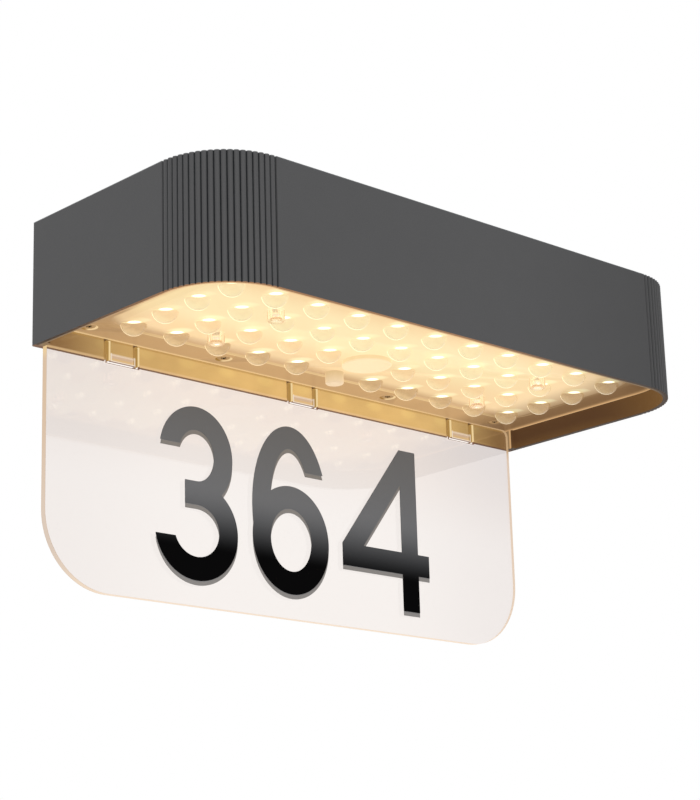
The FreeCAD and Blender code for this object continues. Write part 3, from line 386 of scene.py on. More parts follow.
# Lens cover. One clear moulding in real life: a flat flange, a shallow cove and a lowered field that
# shines with the lights behind it. Here its sheet is a closed solid whose face carries that light.
COVER_LOW, COVER_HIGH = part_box("lens_cover")
COVER_HALF = COVER_HIGH.x / MM
COVER_FRONT = COVER_LOW.y / MM
COVER_REAR = COVER_HIGH.y / MM
COVER_CORNER = CORNER - (HALF_WIDTH - COVER_HALF)
COVER_REAR_CORNER = 0.1
FLANGE_THICKNESS = 2.0
SHEET_THICKNESS = 2.0
FIELD_DROP = 1.3
FIELD_HALF = 107.0
FIELD_REAR = -18.6
FIELD_FRONT = -88.2
FIELD_CORNER = 8.0
FIELD_WALL = 0.9
FIELD = FLANGE - FIELD_DROP
COVE = 2.6
COVE_STEPS = 9
COVE_CREASE = 50.0
SIDE_COLUMNS = 5
ROWS = 4
ROW_PITCH = 18.4
FIRST_ROW = -25.2
SCREW_PLACES = [(43.4, -10.0), (106.8, -10.0), (43.4, -96.3), (100.0, -96.3)]
SCREWS = [(side * column, row) for column, row in SCREW_PLACES for side in (-1, 1)]
SCREW_WELL = 3.2
SCREW_WELL_DEPTH = 1.3
SCREW_SHANK = 1.6
BUTTON_HOLE = 3.9
BUTTON_PLACE = (0.0, FIRST_ROW)
WINDOW_HOLE = 8.25
WINDOW_PLACE = (0.0, FIRST_ROW - ROW_PITCH)
OVERRUN = 1.0
JOIN_DISTANCE = 1e-6
CREASE = 35.0


def rounded_plan(half, front, rear, front_corner, rear_corner, inset, arc_points=16, side_points=24):
    """A rectangle with rounded corners, drawn inset from its edge: arcs, centre + radius (cos a, sin a),
    and straight sides divided evenly. Gives x, y points, clockwise from above."""
    turns = np.linspace(0, math.pi / 2, arc_points)
    corners = ((1, rear, rear_corner, 1), (1, front, front_corner, -1),
               (-1, front, front_corner, -1), (-1, rear, rear_corner, 1))
    arcs = []
    for index, (side, edge, corner, outward) in enumerate(corners):
        centre = np.array([side * (half - corner), edge - outward * corner])
        angle = math.pi / 2 - index * math.pi / 2 - turns
        arcs.append(centre + (corner - inset) * np.stack([np.cos(angle), np.sin(angle)], 1))
    ring = []
    for index, arc in enumerate(arcs):
        following = arcs[(index + 1) % len(arcs)]
        share = np.linspace(0, 1, side_points + 2)[1:-1, None]
        ring += [arc, arc[-1] + share * (following[0] - arc[-1])]
    return np.concatenate(ring)


def rows_at(rings_and_heights):
    """stacks x, y rings at their heights into one grid of points"""
    rows = [np.column_stack([ring, np.full(len(ring), height)]) for ring, height in rings_and_heights]
    return np.stack(rows)


def piece_from(name, grids, crease=CREASE):
    """One object from closed skins. Each grid holds rows of points that run round the piece; neighbouring
    rows are joined by quads, and the first and last rows are closed by a cap or meet in a point."""
    points = []
    faces = []
    start = 0
    for rows in grids:
        count, around = rows.shape[:2]
        index = start + np.arange(count * around).reshape(count, around)
        after = np.roll(index, -1, axis=1)
        quads = np.stack([index[:-1], after[:-1], after[1:], index[1:]], -1).reshape(-1, 4)
        faces += quads.tolist() + [index[0][::-1].tolist(), index[-1].tolist()]
        points.append(rows.reshape(-1, 3))
        start += count * around
    mesh = bpy.data.meshes.new(name)
    mesh.from_pydata((np.concatenate(points) * MM).tolist(), [], faces)
    work = bmesh.new()
    work.from_mesh(mesh)
    bmesh.ops.remove_doubles(work, verts=work.verts, dist=JOIN_DISTANCE)
    bmesh.ops.dissolve_degenerate(work, edges=work.edges, dist=JOIN_DISTANCE)
    bmesh.ops.recalc_face_normals(work, faces=work.faces)
    work.to_mesh(mesh)
    work.free()
    mesh.shade_smooth()
    mesh.set_sharp_from_angle(angle=math.radians(crease))
    piece = bpy.data.objects.new(name, mesh)
    bpy.context.scene.collection.objects.link(piece)
    return piece


def turned(profile, around=48):
    """Turns a profile of radius, height points about the z axis: x = r cos a, y = r sin a."""
    angle = np.linspace(0, 2 * math.pi, around, endpoint=False)
    radius, height = np.array(profile).T
    return np.stack([radius[:, None] * np.cos(angle), radius[:, None] * np.sin(angle),
                     np.repeat(height[:, None], around, 1)], -1)


def bored(piece, holes):
    """cuts round holes, each given as place, radius, low and high, into the piece's mesh"""
    plugs = [turned([(0, low), (radius, low), (radius, high), (0, high)]) + [*place, 0]
             for place, radius, low, high in holes]
    cutters = piece_from("cutters", plugs)
    cut = piece.modifiers.new("bore", "BOOLEAN")
    cut.object = cutters
    cut.solver = "EXACT"
    result = bpy.data.meshes.new_from_object(piece.evaluated_get(bpy.context.evaluated_depsgraph_get()))
    piece.modifiers.clear()
    piece.data = result
    bpy.data.objects.remove(cutters)


def field_ring(inset):
    return rounded_plan(FIELD_HALF, FIELD_FRONT, FIELD_REAR, FIELD_CORNER, FIELD_CORNER, inset)


def cove_ring(share):
    """ring and height at a share of the cove's way down: the height is a smooth step of the share"""
    return field_ring(COVE * share), FLANGE - FIELD_DROP * share ** 2 * (3 - 2 * share)


flange_ring = rounded_plan(COVER_HALF, COVER_FRONT, COVER_REAR, COVER_CORNER, COVER_REAR_CORNER, 0)
flange_top = FLANGE + FLANGE_THICKNESS
field_top = FIELD + SHEET_THICKNESS
sheet_rows = [cove_ring(share) for share in np.linspace(1, 0, COVE_STEPS)]
sheet_rows += [(flange_ring, FLANGE), (flange_ring, flange_top)]
sheet_rows += [(field_ring(FIELD_WALL), flange_top), (field_ring(FIELD_WALL), field_top)]
cover_sheet = piece_from("cover_sheet", [rows_at(sheet_rows)], COVE_CREASE)
well_top = FLANGE + SCREW_WELL_DEPTH
bored(cover_sheet, [(place, SCREW_WELL, FLANGE - OVERRUN, well_top) for place in SCREWS])
bored(cover_sheet, [(place, SCREW_SHANK, well_top - OVERRUN / 2, flange_top + OVERRUN)
                    for place in SCREWS])
bored(cover_sheet, [(WINDOW_PLACE, WINDOW_HOLE, FIELD - OVERRUN, field_top + OVERRUN),
                    (BUTTON_PLACE, BUTTON_HOLE, FIELD - OVERRUN, field_top + OVERRUN)])

# Places on the cover: each dome has a square of the grid, and its bright spot lies to one side of it.
# The two rear squares of the middle column have no dome, but the button and the window.
SPOT_SIDE = (-0.685, -0.728)
BARE_FRONT = FIRST_ROW - 1.5 * ROW_PITCH
BARE_SIDES = (COLUMN_PITCH / 2 - 1, COLUMN_PITCH / 2)
GRID_ENDS = ((SIDE_COLUMNS + 0.4) * COLUMN_PITCH, (SIDE_COLUMNS + 0.45) * COLUMN_PITCH)
GRID_REAR = (FIRST_ROW + 8, FIRST_ROW + 8.5)
GRID_FRONT = (FIRST_ROW - (ROWS - 0.55) * ROW_PITCH, FIRST_ROW - (ROWS - 0.6) * ROW_PITCH)


def in_square(x, y):
    """distances from the nearest dome: to the right, to the rear, toward its spot and across"""
    from_column = x.to_grid(COLUMN_PITCH)
    from_row = (y - FIRST_ROW).to_grid(ROW_PITCH)
    toward = from_column * SPOT_SIDE[0] + from_row * SPOT_SIDE[1]
    across = from_row * SPOT_SIDE[0] - from_column * SPOT_SIDE[1]
    return from_column, from_row, toward, across


def has_dome(x, y):
    """1 in the squares that hold a dome"""
    bare = abs(x).fall(*BARE_SIDES) * y.rise(BARE_FRONT - 1, BARE_FRONT)
    on_grid = abs(x).fall(*GRID_ENDS) * y.fall(*GRID_REAR) * y.rise(*GRID_FRONT)
    return (1 - bare) * on_grid


cover = Finish("cover_light", roughness=0.3, specular_ior_level=0.08, base_color=shade(60, 50, 36),
               emission_strength=1.0)
x, y, z = cover.place()
from_column, from_row, toward, across = in_square(x, y)
lit = has_dome(x, y)
field_inset = edge_inset(x, y, FIELD_HALF, FIELD_FRONT, FIELD_REAR, FIELD_CORNER)
cover_inset = edge_inset(x, y, COVER_HALF, COVER_FRONT, -COVER_FRONT, COVER_CORNER)

# The field and the flange: cream where the light is full, tan and brown towards the rear and the ends
FIELD_MIDDLE = shade(249, 227, 177)
FIELD_LIGHT = shade(244, 211, 161)
FIELD_EDGE = shade(202, 164, 120)
FIELD_END = shade(138, 104, 70)
FLANGE_LIGHT = shade(190, 151, 106)
FLANGE_EDGE = shade(212, 178, 128)
EDGE_HIGHLIGHT = shade(244, 212, 160)
END_GLOW = shade(238, 190, 134)
FULL_REAR = (-30, -21)
FULL_RIGHT = (88, 112)
FULL_LEFT = (-110, -96)
FULL_LEFT_SHARE = 0.7
MIDDLE_FRONT = (-88, -72)
MIDDLE_REAR = (-54, -34)
MIDDLE_RIGHT = (30, 100)
RIGHT_END = (84, 116)
FIELD_LEFT = (-116, -70)
FIELD_LEFT_TONE = 0.74
FLANGE_LEFT = (-120, -60)
FLANGE_LEFT_TONE = 0.8
FIELD_OUTLINE = (-0.6, 0.6)
STEP_OUTLINE = (-3.1, -2.7)
STEP_LEFT = (-106, -76)
STEP_LINE = (-2.7, -2.2)
STEP_LINE_REAR = (-60, -22)
STEP_LINE_LEFT = (-104, -84)
STEP_LINE_SHARE = 0.6
OUTER_LINE = (0.4, 0.9)
OUTER_LINE_SHARE = 0.8
END_STRIP = (0, 5.0)
END_STRIP_RIGHT = (94, 116)

full = y.fall(*FULL_REAR) * x.fall(*FULL_RIGHT) * x.rise(*FULL_LEFT).above(FULL_LEFT_SHARE)
right_end = x.rise(*RIGHT_END)
dull = cover.mix(right_end, FIELD_EDGE, FIELD_END)
dull = cover.tone(dull, x.rise(*FIELD_LEFT).above(FIELD_LEFT_TONE))
middle = y.rise(*MIDDLE_FRONT) * y.fall(*MIDDLE_REAR) * x.fall(*MIDDLE_RIGHT)
field = cover.mix(full, dull, cover.mix(middle, FIELD_LIGHT, FIELD_MIDDLE))
clouded = cover.speckled(FLANGE_LIGHT, size=22.0, least=0.9, spread=0.2, detail=1.0)
flange = cover.mix(right_end, clouded, FIELD_END)
flange = cover.tone(flange, x.rise(*FLANGE_LEFT).above(FLANGE_LEFT_TONE))
step = field_inset.rise(*STEP_OUTLINE) * x.rise(*STEP_LEFT)
flange = cover.mix(step * (1 - right_end), flange, FLANGE_EDGE)
light = cover.mix(field_inset.rise(*FIELD_OUTLINE), flange, field)
# painted highlights: thin bright lines along the field's step and the cover's outer edge
step_highlight = step * field_inset.fall(*STEP_LINE) * y.rise(*STEP_LINE_REAR) * x.rise(*STEP_LINE_LEFT)
lines = (step_highlight * STEP_LINE_SHARE).most(cover_inset.fall(*OUTER_LINE) * OUTER_LINE_SHARE)
light = cover.mix(lines, light, EDGE_HIGHLIGHT)
light = cover.mix(cover_inset.fall(*END_STRIP) ** 2 * x.rise(*END_STRIP_RIGHT), light, END_GLOW)

# The screw wells, dark at the left and rear and lit opposite, and the light at the cover's left end
WELL_LIGHT = shade(238, 206, 154)
WELL_DARK = shade(158, 116, 54)
LEFT_LIGHT = shade(252, 224, 170)
WELL_RIM = (SCREW_WELL, SCREW_WELL + 0.3)
WELL_SIDES = (-3.0, -0.5)
WELL_FADE = (90, 100)
WELL_FADE_SHARE = 0.9
LEFT_LIGHT_END = (-110, -98)
LEFT_LIGHT_REAR = (-44, -30)
LEFT_LIGHT_SHARE = 0.8

from_screws = [(abs(x) - column, y - row) for column, row in SCREW_PLACES]
wells = [distance(along, out).fall(*WELL_RIM) for along, out in from_screws]
to_right = sum(well * (along * x.sign() - out) for well, (along, out) in zip(wells, from_screws))
well_light = cover.mix(to_right.rise(*WELL_SIDES), WELL_DARK, WELL_LIGHT)
light = cover.mix(sum(wells) * (1 - WELL_FADE_SHARE * x.rise(*WELL_FADE)), light, well_light)
at_left = x.fall(*LEFT_LIGHT_END) * y.fall(*LEFT_LIGHT_REAR)
light = cover.mix(at_left * LEFT_LIGHT_SHARE, light, LEFT_LIGHT)

# The light of each lamp: a hot spot under one side of its dome, wings beside the spot, a halo beyond it,
# and a mottled bowl of light under the rest of the dome, darker at the cover's rear and right end
LAMP_WHITE = shade(255, 246, 214)
LAMP_HALO = shade(255, 241, 190)
LAMP_WING = shade(255, 236, 182)
BOWL_LIGHT = shade(252, 229, 178)
BOWL_DARK = shade(248, 212, 160)
BOWL_MIDDLE = shade(254, 243, 193)
REAR_BOWL_LIGHT = shade(236, 202, 150)
REAR_BOWL_DARK = shade(210, 172, 124)
HOT_CENTRE = (3.3, 0.5)
HOT_HALF = (1.4, 2.3)
HOT_FADE = (0.0, 1.5)
HOT_GAIN = 1.6
HALO_CENTRE = (5.6, 2.0)
HALO_HALF = (3.0, 5.0)
HALO_FADE = (0.0, 1.4)
HALO_LEFT = (-106, -94)
HALO_SHARE = 0.45
WING_CENTRE = (2.7, 0.3)
WING_HALF = (0.9, 4.9)
WING_BEND = 0.03
WING_FADE = (0.3, 1.2)
WING_SHARE = 0.8
BOWL_EDGE = (4.2 ** 2, 4.8 ** 2)
BOWL_SIDE = (1.6, 3.2)
BOWL_LEAN = (-5.5, -0.5)
BOWL_MIDDLE_REAR = (-54, -46)
BOWL_MIDDLE_RIGHT = (50, 100)
BOWL_MIDDLE_LEFT = (-112, -92)
BOWL_MIDDLE_SHARE = 0.5
NEAR_BOWL_REAR = (-34, -30)
NEAR_BOWL_RIGHT = (86, 92)
MOTTLE_EDGE = (0.35, 0.65)
MOTTLE_SHARE = 0.12
MOTTLE_SHARE_LOST = 0.08
DIM_RIGHT = (84, 96)
DIM_RIGHT_SHARE = 0.22
CORNER_RIGHT = (56, 104)
CORNER_FRONT = (-92, -66)
CORNER_SHARE = 0.3

hot = in_oval(toward, across, HOT_CENTRE, HOT_HALF).fall(*HOT_FADE) * lit
halo = in_oval(toward, across, HALO_CENTRE, HALO_HALF).fall(*HALO_FADE) * lit * x.rise(*HALO_LEFT)
bent = toward - WING_BEND * across ** 2
wings = in_oval(bent, across, WING_CENTRE, WING_HALF).fall(*WING_FADE) * lit
bowl = (from_column ** 2 + from_row ** 2).fall(*BOWL_EDGE) * toward.fall(*BOWL_SIDE) * lit
light = cover.mix(halo * HALO_SHARE * (1 + full) * (1 - bowl), light, LAMP_HALO)
lean = (toward + across).rise(*BOWL_LEAN)
deep = y.fall(*BOWL_MIDDLE_REAR) * x.fall(*BOWL_MIDDLE_RIGHT) * x.rise(*BOWL_MIDDLE_LEFT)
near_bowl = cover.mix(lean, BOWL_LIGHT, BOWL_DARK)
near_bowl = cover.mix(deep * BOWL_MIDDLE_SHARE, near_bowl, BOWL_MIDDLE)
rear_bowl = cover.mix(lean, REAR_BOWL_LIGHT, REAR_BOWL_DARK)
near = y.fall(*NEAR_BOWL_REAR) * x.fall(*NEAR_BOWL_RIGHT)
light = cover.mix(bowl, light, cover.mix(near, rear_bowl, near_bowl))
light = cover.mix(wings * WING_SHARE, light, LAMP_WING)
mottle = cover.speckle(size=1.3, detail=3.0).rise(*MOTTLE_EDGE)
dim_corner = x.rise(*CORNER_RIGHT) * y.fall(*CORNER_FRONT)
shine = 1 - (MOTTLE_SHARE - MOTTLE_SHARE_LOST * full) * bowl * mottle
shine = shine * (1 - DIM_RIGHT_SHARE * x.rise(*DIM_RIGHT)) * (1 - CORNER_SHARE * dim_corner)
light = cover.mix(hot, light, LAMP_WHITE)
cover.paint("Emission Color", cover.tone(light, shine + HOT_GAIN * hot))
cover.wear(cover_sheet)
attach(cover_sheet, "lamp")
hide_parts("lens_cover")

# Lens domes. Solid clear caps moulded on the cover, one under each light. Each is a slice of a ball, its
# flat root just inside the sheet, so that the light behind it shows as a hot spot at its near edge.
DOME_RADIUS = 4.9
DOME_DROP = 4.1
DOME_ROOT = 0.3
DOME_ARC_POINTS = 18
GLASS_GLINT = shade(255, 226, 180)
DOME_RIM = (0.7, 0.9)
DOME_RIM_SIDE = (0.5, 4.5)
DOME_RIM_ROOT = (FIELD - 0.4, FIELD)


def dome_profile():
    """radius and height from the root's middle, round the rim and along the arc of the ball to the tip"""
    ball = (DOME_RADIUS ** 2 + DOME_DROP ** 2) / (2 * DOME_DROP)
    rim_turn = math.acos((ball - DOME_DROP) / ball)
    turn = np.linspace(rim_turn, 0, DOME_ARC_POINTS)
    arc = np.column_stack([ball * np.sin(turn), FIELD + ball - DOME_DROP - ball * np.cos(turn)])
    root = [(0, FIELD + DOME_ROOT), (DOME_RADIUS, FIELD + DOME_ROOT)]
    return np.concatenate([root, arc])


columns = np.arange(-SIDE_COLUMNS, SIDE_COLUMNS + 1) * COLUMN_PITCH
rows = FIRST_ROW - np.arange(ROWS) * ROW_PITCH
dome_places = [(column, row) for row in rows for column in columns if column or row < BARE_FRONT]
lens_domes = piece_from("lens_domes", [turned(dome_profile()) + [*place, 0] for place in dome_places])
dome_glass = Finish("dome_glass", base_color=(1.0, 0.99, 0.97, 1.0), roughness=0.01, ior=1.49,
                    transmission_weight=1.0, specular_tint=GLASS_GLINT, emission_strength=0.8)
x, y, z = dome_glass.place()
facing = dome_glass.node("LayerWeight", {}, {}, "Facing")
from_column, from_row, toward, across = in_square(x, y)
# painted highlight: a white glow along each dome's outline where it is seen edge on
dome_outline_highlight = facing.rise(*DOME_RIM) * across.fall(*DOME_RIM_SIDE) * z.fall(*DOME_RIM_ROOT)
dome_glass.paint("Emission Color", dome_glass.mix(dome_outline_highlight, BLACK, LAMP_WHITE))
dome_glass.bump(dome_glass.speckle(size=1.2), depth=0.03)
dome_glass.wear(lens_domes)
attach(lens_domes, "lamp")
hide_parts("lens_cover")

# Posts. Four clear blind studs moulded on the cover, which take the screws of the light board. The tips of
# those screws show through them.
POST_RADIUS = 3.2
POST_DROP = 4.5
POST_CLOSE_IN = 1.7
POST_EDGE = 0.8
POST_EDGE_POINTS = 7
POST_BORE = 1.5
POST_FLOOR = 1.3
POST_COLUMN = 3.5 * COLUMN_PITCH
POST_ROWS = (FIRST_ROW - ROW_PITCH / 2 - POST_CLOSE_IN, FIRST_ROW - 2.5 * ROW_PITCH + POST_CLOSE_IN)
POST_END = FIELD - POST_DROP
POST_GLOW = shade(96, 84, 66)
POST_LOW = shade(208, 156, 106)
POST_HIGH = shade(238, 196, 142)
POST_FACE = (POST_END + 0.4, POST_END + 0.7)
POST_RING = (1.9, 2.4)
POST_RING_SHARE = 0.55
POST_SIDES = (0.42, 0.6)
POST_SIDES_LOW = (POST_END + 0.3, POST_END + 0.8)
POST_SIDES_HIGH = (FIELD - 0.6, FIELD - 0.2)
POST_OUTLINE_SHARE = 0.6
POST_LIGHT_SPAN = (POST_END + 1, FIELD)


def post_profile():
    """radius and height round the rounded end, up the side, and into the blind bore"""
    turn = np.linspace(0, math.pi / 2, POST_EDGE_POINTS)
    edge = np.column_stack([POST_RADIUS - POST_EDGE + POST_EDGE * np.sin(turn),
                            POST_END + POST_EDGE - POST_EDGE * np.cos(turn)])
    bore = [(POST_RADIUS, FIELD + DOME_ROOT), (POST_BORE, FIELD + DOME_ROOT),
            (POST_BORE, POST_END + POST_FLOOR), (0, POST_END + POST_FLOOR)]
    return np.concatenate([[(0, POST_END)], edge, bore])


post_places = [(side * POST_COLUMN, row) for side in (-1, 1) for row in POST_ROWS]
cover_posts = piece_from("cover_posts", [turned(post_profile()) + [*place, 0] for place in post_places])
post_glass = Finish("post_glass", base_color=(1.0, 0.985, 0.96, 1.0), roughness=0.03, ior=1.49,
                    transmission_weight=1.0, specular_tint=GLASS_GLINT, emission_strength=0.7)
x, y, z = post_glass.place()
facing = post_glass.node("LayerWeight", {}, {}, "Facing")
from_column = abs(x) - POST_COLUMN
from_row = abs(y - sum(POST_ROWS) / 2) - (POST_ROWS[0] - POST_ROWS[1]) / 2
# painted light: the posts glow faintly, and a tan to cream glow outlines their sides and the rims of their
# ends
post_foot = z.fall(*POST_FACE) * distance(from_column, from_row).rise(*POST_RING)
post_wall = facing.rise(*POST_SIDES) * z.rise(*POST_SIDES_LOW) * z.fall(*POST_SIDES_HIGH)
post_outline_glow = (post_foot * POST_RING_SHARE).most(post_wall)
post_light = post_glass.lit(post_glass.mix(z.rise(*POST_LIGHT_SPAN), POST_LOW, POST_HIGH))
post_glass.paint("Emission Color", post_glass.speckled(POST_GLOW, size=1.0, least=0.9, spread=0.2))
post_glass.lay((post_outline_glow * POST_OUTLINE_SHARE, post_light))
post_glass.wear(cover_posts)
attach(cover_posts, "lamp")
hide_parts("lens_cover")

# Push button and sensor window, both with a painted glow. The button is a milky cap that glows a little;
# the window is a pale pinkish disc, thin enough for the sensor behind it.
BUTTON_TIP = shade(232, 204, 164)
BUTTON_ROOT = shade(216, 184, 134)
BUTTON_SPAN = (FIELD - 4.6, FIELD)
WINDOW_FACE = shade(252, 226, 178)
WINDOW_SIDE = shade(246, 214, 160)
WINDOW_SIDE_SPAN = (FIELD - 1.6, FIELD - 1.2)

button_milk = Finish("button_milk", roughness=0.35, base_color=shade(90, 78, 64), emission_strength=1.0)
x, y, z = button_milk.place()
button_glow = button_milk.mix(z.rise(*BUTTON_SPAN), BUTTON_TIP, BUTTON_ROOT)
button_milk.paint("Emission Color", button_milk.speckled(button_glow, size=1.5, least=0.9, spread=0.1))
button_milk.wear(nodes["button_cap"])
window_milk = Finish("window_milk", roughness=0.4, base_color=shade(70, 62, 52), emission_strength=1.0)
x, y, z = window_milk.place()
window_glow = window_milk.mix(z.rise(*WINDOW_SIDE_SPAN), WINDOW_FACE, WINDOW_SIDE)
window_milk.paint("Emission Color", window_milk.speckled(window_glow, size=3.0, least=0.92, spread=0.08))
window_milk.wear(nodes["sensor_window"])

# Number plate. Clear cast sheet, laser cut: its faces mirror the lights faintly, and painted light makes
# its cut edges look bronze. Three tongues, cut free at their sides and below, clip it to the rear wall.
PLATE_LOW, PLATE_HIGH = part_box("number_plate")
PLATE_FRONT = PLATE_LOW.y / MM
PLATE_TOP = PLATE_HIGH.z / MM
PLATE_THICKNESS = 2.4
PLATE_MIDDLE = PLATE_FRONT + PLATE_THICKNESS / 2
CLEAR_LOW = shade(247, 241, 237)
CLEAR_HIGH_REFLECTION = shade(242, 230, 222)
CLEAR_RIGHT_SHADE = shade(228, 221, 219)
CLEAR_LEFT_SHADE = shade(230, 223, 220)
CLEAR_HEIGHT = (-75, RIM)
CLEAR_RIGHT_SPAN = (40, 120)
CLEAR_RIGHT_SHARE = 0.4
CLEAR_LEFT_SPAN = (-121, -50)
CLEAR_LEFT_SHARE = 0.3
CLEAR_LEFT_GAIN = 0.5

plate_glass = Finish("plate_glass", roughness=0.0, ior=1.49, transmission_weight=1.0)
x, y, z = plate_glass.place()
# the glass's own faint warm tint, darker and greyer towards the top: a painted reflection of the dark
# housing above
high = z.rise(*CLEAR_HEIGHT)
tint_and_shade = plate_glass.mix(high, CLEAR_LOW, CLEAR_HIGH_REFLECTION)
# painted shade: greyer towards both ends
right_shade_share = x.rise(*CLEAR_RIGHT_SPAN) * high.above(CLEAR_RIGHT_SHARE)
tint_and_shade = plate_glass.mix(right_shade_share, tint_and_shade, CLEAR_RIGHT_SHADE)
left_shade_share = x.fall(*CLEAR_LEFT_SPAN) * (CLEAR_LEFT_SHARE + CLEAR_LEFT_GAIN * high)
plate_glass.paint("Base Color", plate_glass.mix(left_shade_share, tint_and_shade, CLEAR_LEFT_SHADE))

# Light in the plate's cut edges: warm near the rim, pale below and duller at the left, with darker arrises
EDGE_PALE = shade(230, 208, 184)
EDGE_LEFT_LOW = shade(212, 194, 178)
EDGE_LEFT_HIGH = shade(208, 180, 150)
EDGE_ARRIS = shade(204, 170, 140)
EDGE_HIGH = shade(232, 200, 146)
EDGE_HIGH_RIGHT = shade(206, 174, 132)
EDGE_SHELL = (1.16, 1.19)
EDGE_ARRIS_SPAN = (1.0, 1.1)
EDGE_LEFT_SPAN = (-119, -104)
EDGE_RIGHT_SPAN = (60, 112)
EDGE_LEFT_HEIGHT = (-100, -40)
EDGE_HIGH_SPAN = (RIM - 6, RIM)


def edge_light(finish, x, z, through):
    """colour of the outer cut edges, from the place on the plate and the distance from its middle layer"""
    left = finish.mix(z.rise(*EDGE_LEFT_HEIGHT), EDGE_LEFT_LOW, EDGE_LEFT_HIGH)
    low = finish.mix(x.fall(*EDGE_LEFT_SPAN), EDGE_PALE, left)
    top = finish.mix(x.rise(*EDGE_RIGHT_SPAN), EDGE_HIGH, EDGE_HIGH_RIGHT)
    near_rim = z.rise(*EDGE_HIGH_SPAN)
    core = finish.mix(near_rim, low, top)
    return finish.mix(through.rise(*EDGE_ARRIS_SPAN), core, finish.mix(near_rim, EDGE_ARRIS, top))


# Light in the slots beside the tongues: the walls that face left are lit, the ends below are dark or white
SLOT_LIT = shade(240, 212, 158)
SLOT_DIM = shade(168, 130, 68)
SLOT_FOOT = shade(112, 70, 56)
SLOT_WHITE = shade(250, 244, 238)
SLOT_SIDES = (118, 119)
SLOT_LOW = (RIM - 3, RIM - 2)
SLOT_TOP = (PLATE_TOP - 0.1, PLATE_TOP - 0.05)
SLOT_WALL = (0.3, 0.5)
SLOT_FRONT = (-3.2, -2.8)
SLOT_BACK = (-3.1, -2.9)
SLOT_FOOT_SPAN = (RIM - 0.3, RIM - 0.1)


def slot_light(finish, y, z, from_tongue):
    """colour of the slots' walls, from the depth, the height and the distance from the nearest tongue"""
    left_walls = abs(from_tongue + TONGUE_HALF).least(abs(from_tongue - TONGUE_HALF - TONGUE_SLOT))
    light = finish.mix(left_walls.fall(*SLOT_WALL) * y.fall(*SLOT_FRONT), SLOT_DIM, SLOT_LIT)
    foot = z.fall(*SLOT_FOOT_SPAN)
    light = finish.mix(foot, light, SLOT_FOOT)
    return finish.mix(foot * y.rise(*SLOT_BACK), light, SLOT_WHITE)


# Light in the nubs at the tongues' lower ends: lit at the left, the foot and the very end
NUB_LOW = shade(226, 192, 140)
NUB_HIGH = shade(216, 188, 158)
NUB_FOOT = shade(244, 212, 166)
NUB_LEFT = shade(234, 212, 186)
NUB_SHELL = (1.22, 1.26)
NUB_HEIGHT_SPAN = (RIM + 1.4, RIM + 1.8)
NUB_FOOT_SPAN = (RIM + 0.4, RIM + 0.8)
NUB_LEFT_SPAN = (-TONGUE_HALF + 0.6, -TONGUE_HALF + 1.4)
NUB_END_SPAN = (RIM - 0.48, RIM - 0.44)


def nub_light(finish, z, from_tongue):
    """colour of the nubs, from the height and the distance from the tongue's middle"""
    light = finish.mix(z.rise(*NUB_HEIGHT_SPAN), NUB_LOW, NUB_HIGH)
    light = finish.mix(z.fall(*NUB_FOOT_SPAN), light, NUB_FOOT)
    light = finish.mix(from_tongue.fall(*NUB_LEFT_SPAN), light, NUB_LEFT)
    return finish.mix(z.fall(*NUB_END_SPAN), light, SLOT_WHITE)


# Painted highlight on the front of each tongue: the outline of the small cup that its nub makes, two
# sides, a foot and a top
CUP_HIGHLIGHT = shade(240, 226, 206)
CUP_SIDE = (0.15, 0.35)
CUP_SIDE_INSET = 0.4
CUP_SIDE_TOP = (RIM + 2.5, RIM + 2.8)
CUP_FOOT = (RIM - 0.2, RIM - 0.05)
CUP_TOP = RIM + 2.1
CUP_TOP_LINE = (0.3, 0.6)
CUP_TOP_SHARE = 0.45
CUP_WIDTH = (TONGUE_HALF - 0.1, TONGUE_HALF)
CUP_LOW = (RIM - 0.52, RIM - 0.48)
CUP_HIGH = (RIM + 3, RIM + 3.2)
CUP_FACE = (PLATE_FRONT + 0.02, PLATE_FRONT + 0.06)
CUP_SHARE = 0.8


def cup_highlight(y, z, from_tongue):
    """1 on the painted highlight lines of the cups"""
    sides = abs(abs(from_tongue) - TONGUE_HALF + CUP_SIDE_INSET).fall(*CUP_SIDE) * z.fall(*CUP_SIDE_TOP)
    top = abs(z - CUP_TOP).fall(*CUP_TOP_LINE) * CUP_TOP_SHARE
    lines = sides.most(z.fall(*CUP_FOOT)).most(top)
    on_tongue = abs(from_tongue).fall(*CUP_WIDTH) * z.rise(*CUP_LOW) * z.fall(*CUP_HIGH)
    return lines * on_tongue * y.fall(*CUP_FACE)


through = abs(y - PLATE_MIDDLE)
from_tongue = (x - TONGUE_MIDDLE).to_grid(TONGUE_PITCH)
slot_walls = abs(x).fall(*SLOT_SIDES) * z.rise(*SLOT_LOW) * z.fall(*SLOT_TOP)
edges = plate_glass.mix(slot_walls, edge_light(plate_glass, x, z, through),
                        slot_light(plate_glass, y, z, from_tongue))
plate_glass.lay((through.fall(*EDGE_SHELL), plate_glass.lit(edges)),
                (through.rise(*NUB_SHELL), plate_glass.lit(nub_light(plate_glass, z, from_tongue))),
                (cup_highlight(y, z, from_tongue) * CUP_SHARE, plate_glass.lit(CUP_HIGHLIGHT)))
plate_glass.wear(nodes["number_plate"])

# Numerals. Plain stick-on figures of gloss film, black below, their upper half painted grey as a painted
# reflection of the light from above. A thin grey sheet a little lower on the plate, under each, is a
# painted shadow.
NUMERAL_LOW, NUMERAL_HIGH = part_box("numeral_three")
NUMERAL_HEIGHT = (NUMERAL_HIGH.z - NUMERAL_LOW.z) / MM
FILM_THICKNESS = 0.3
FILM_BLACK = shade(11, 11, 12)
FILM_REFLECTION_GREY = shade(117, 120, 126)
FILM_LIGHT = (0.18, 0.56)
FILM_BACK = (PLATE_FRONT - 0.06, PLATE_FRONT - 0.03)
SHADOW_GREY = shade(142, 140, 140)
SHADE_DROP = 1.75
SHADE_GAP = 0.02
SHADE_THICKNESS = 0.13


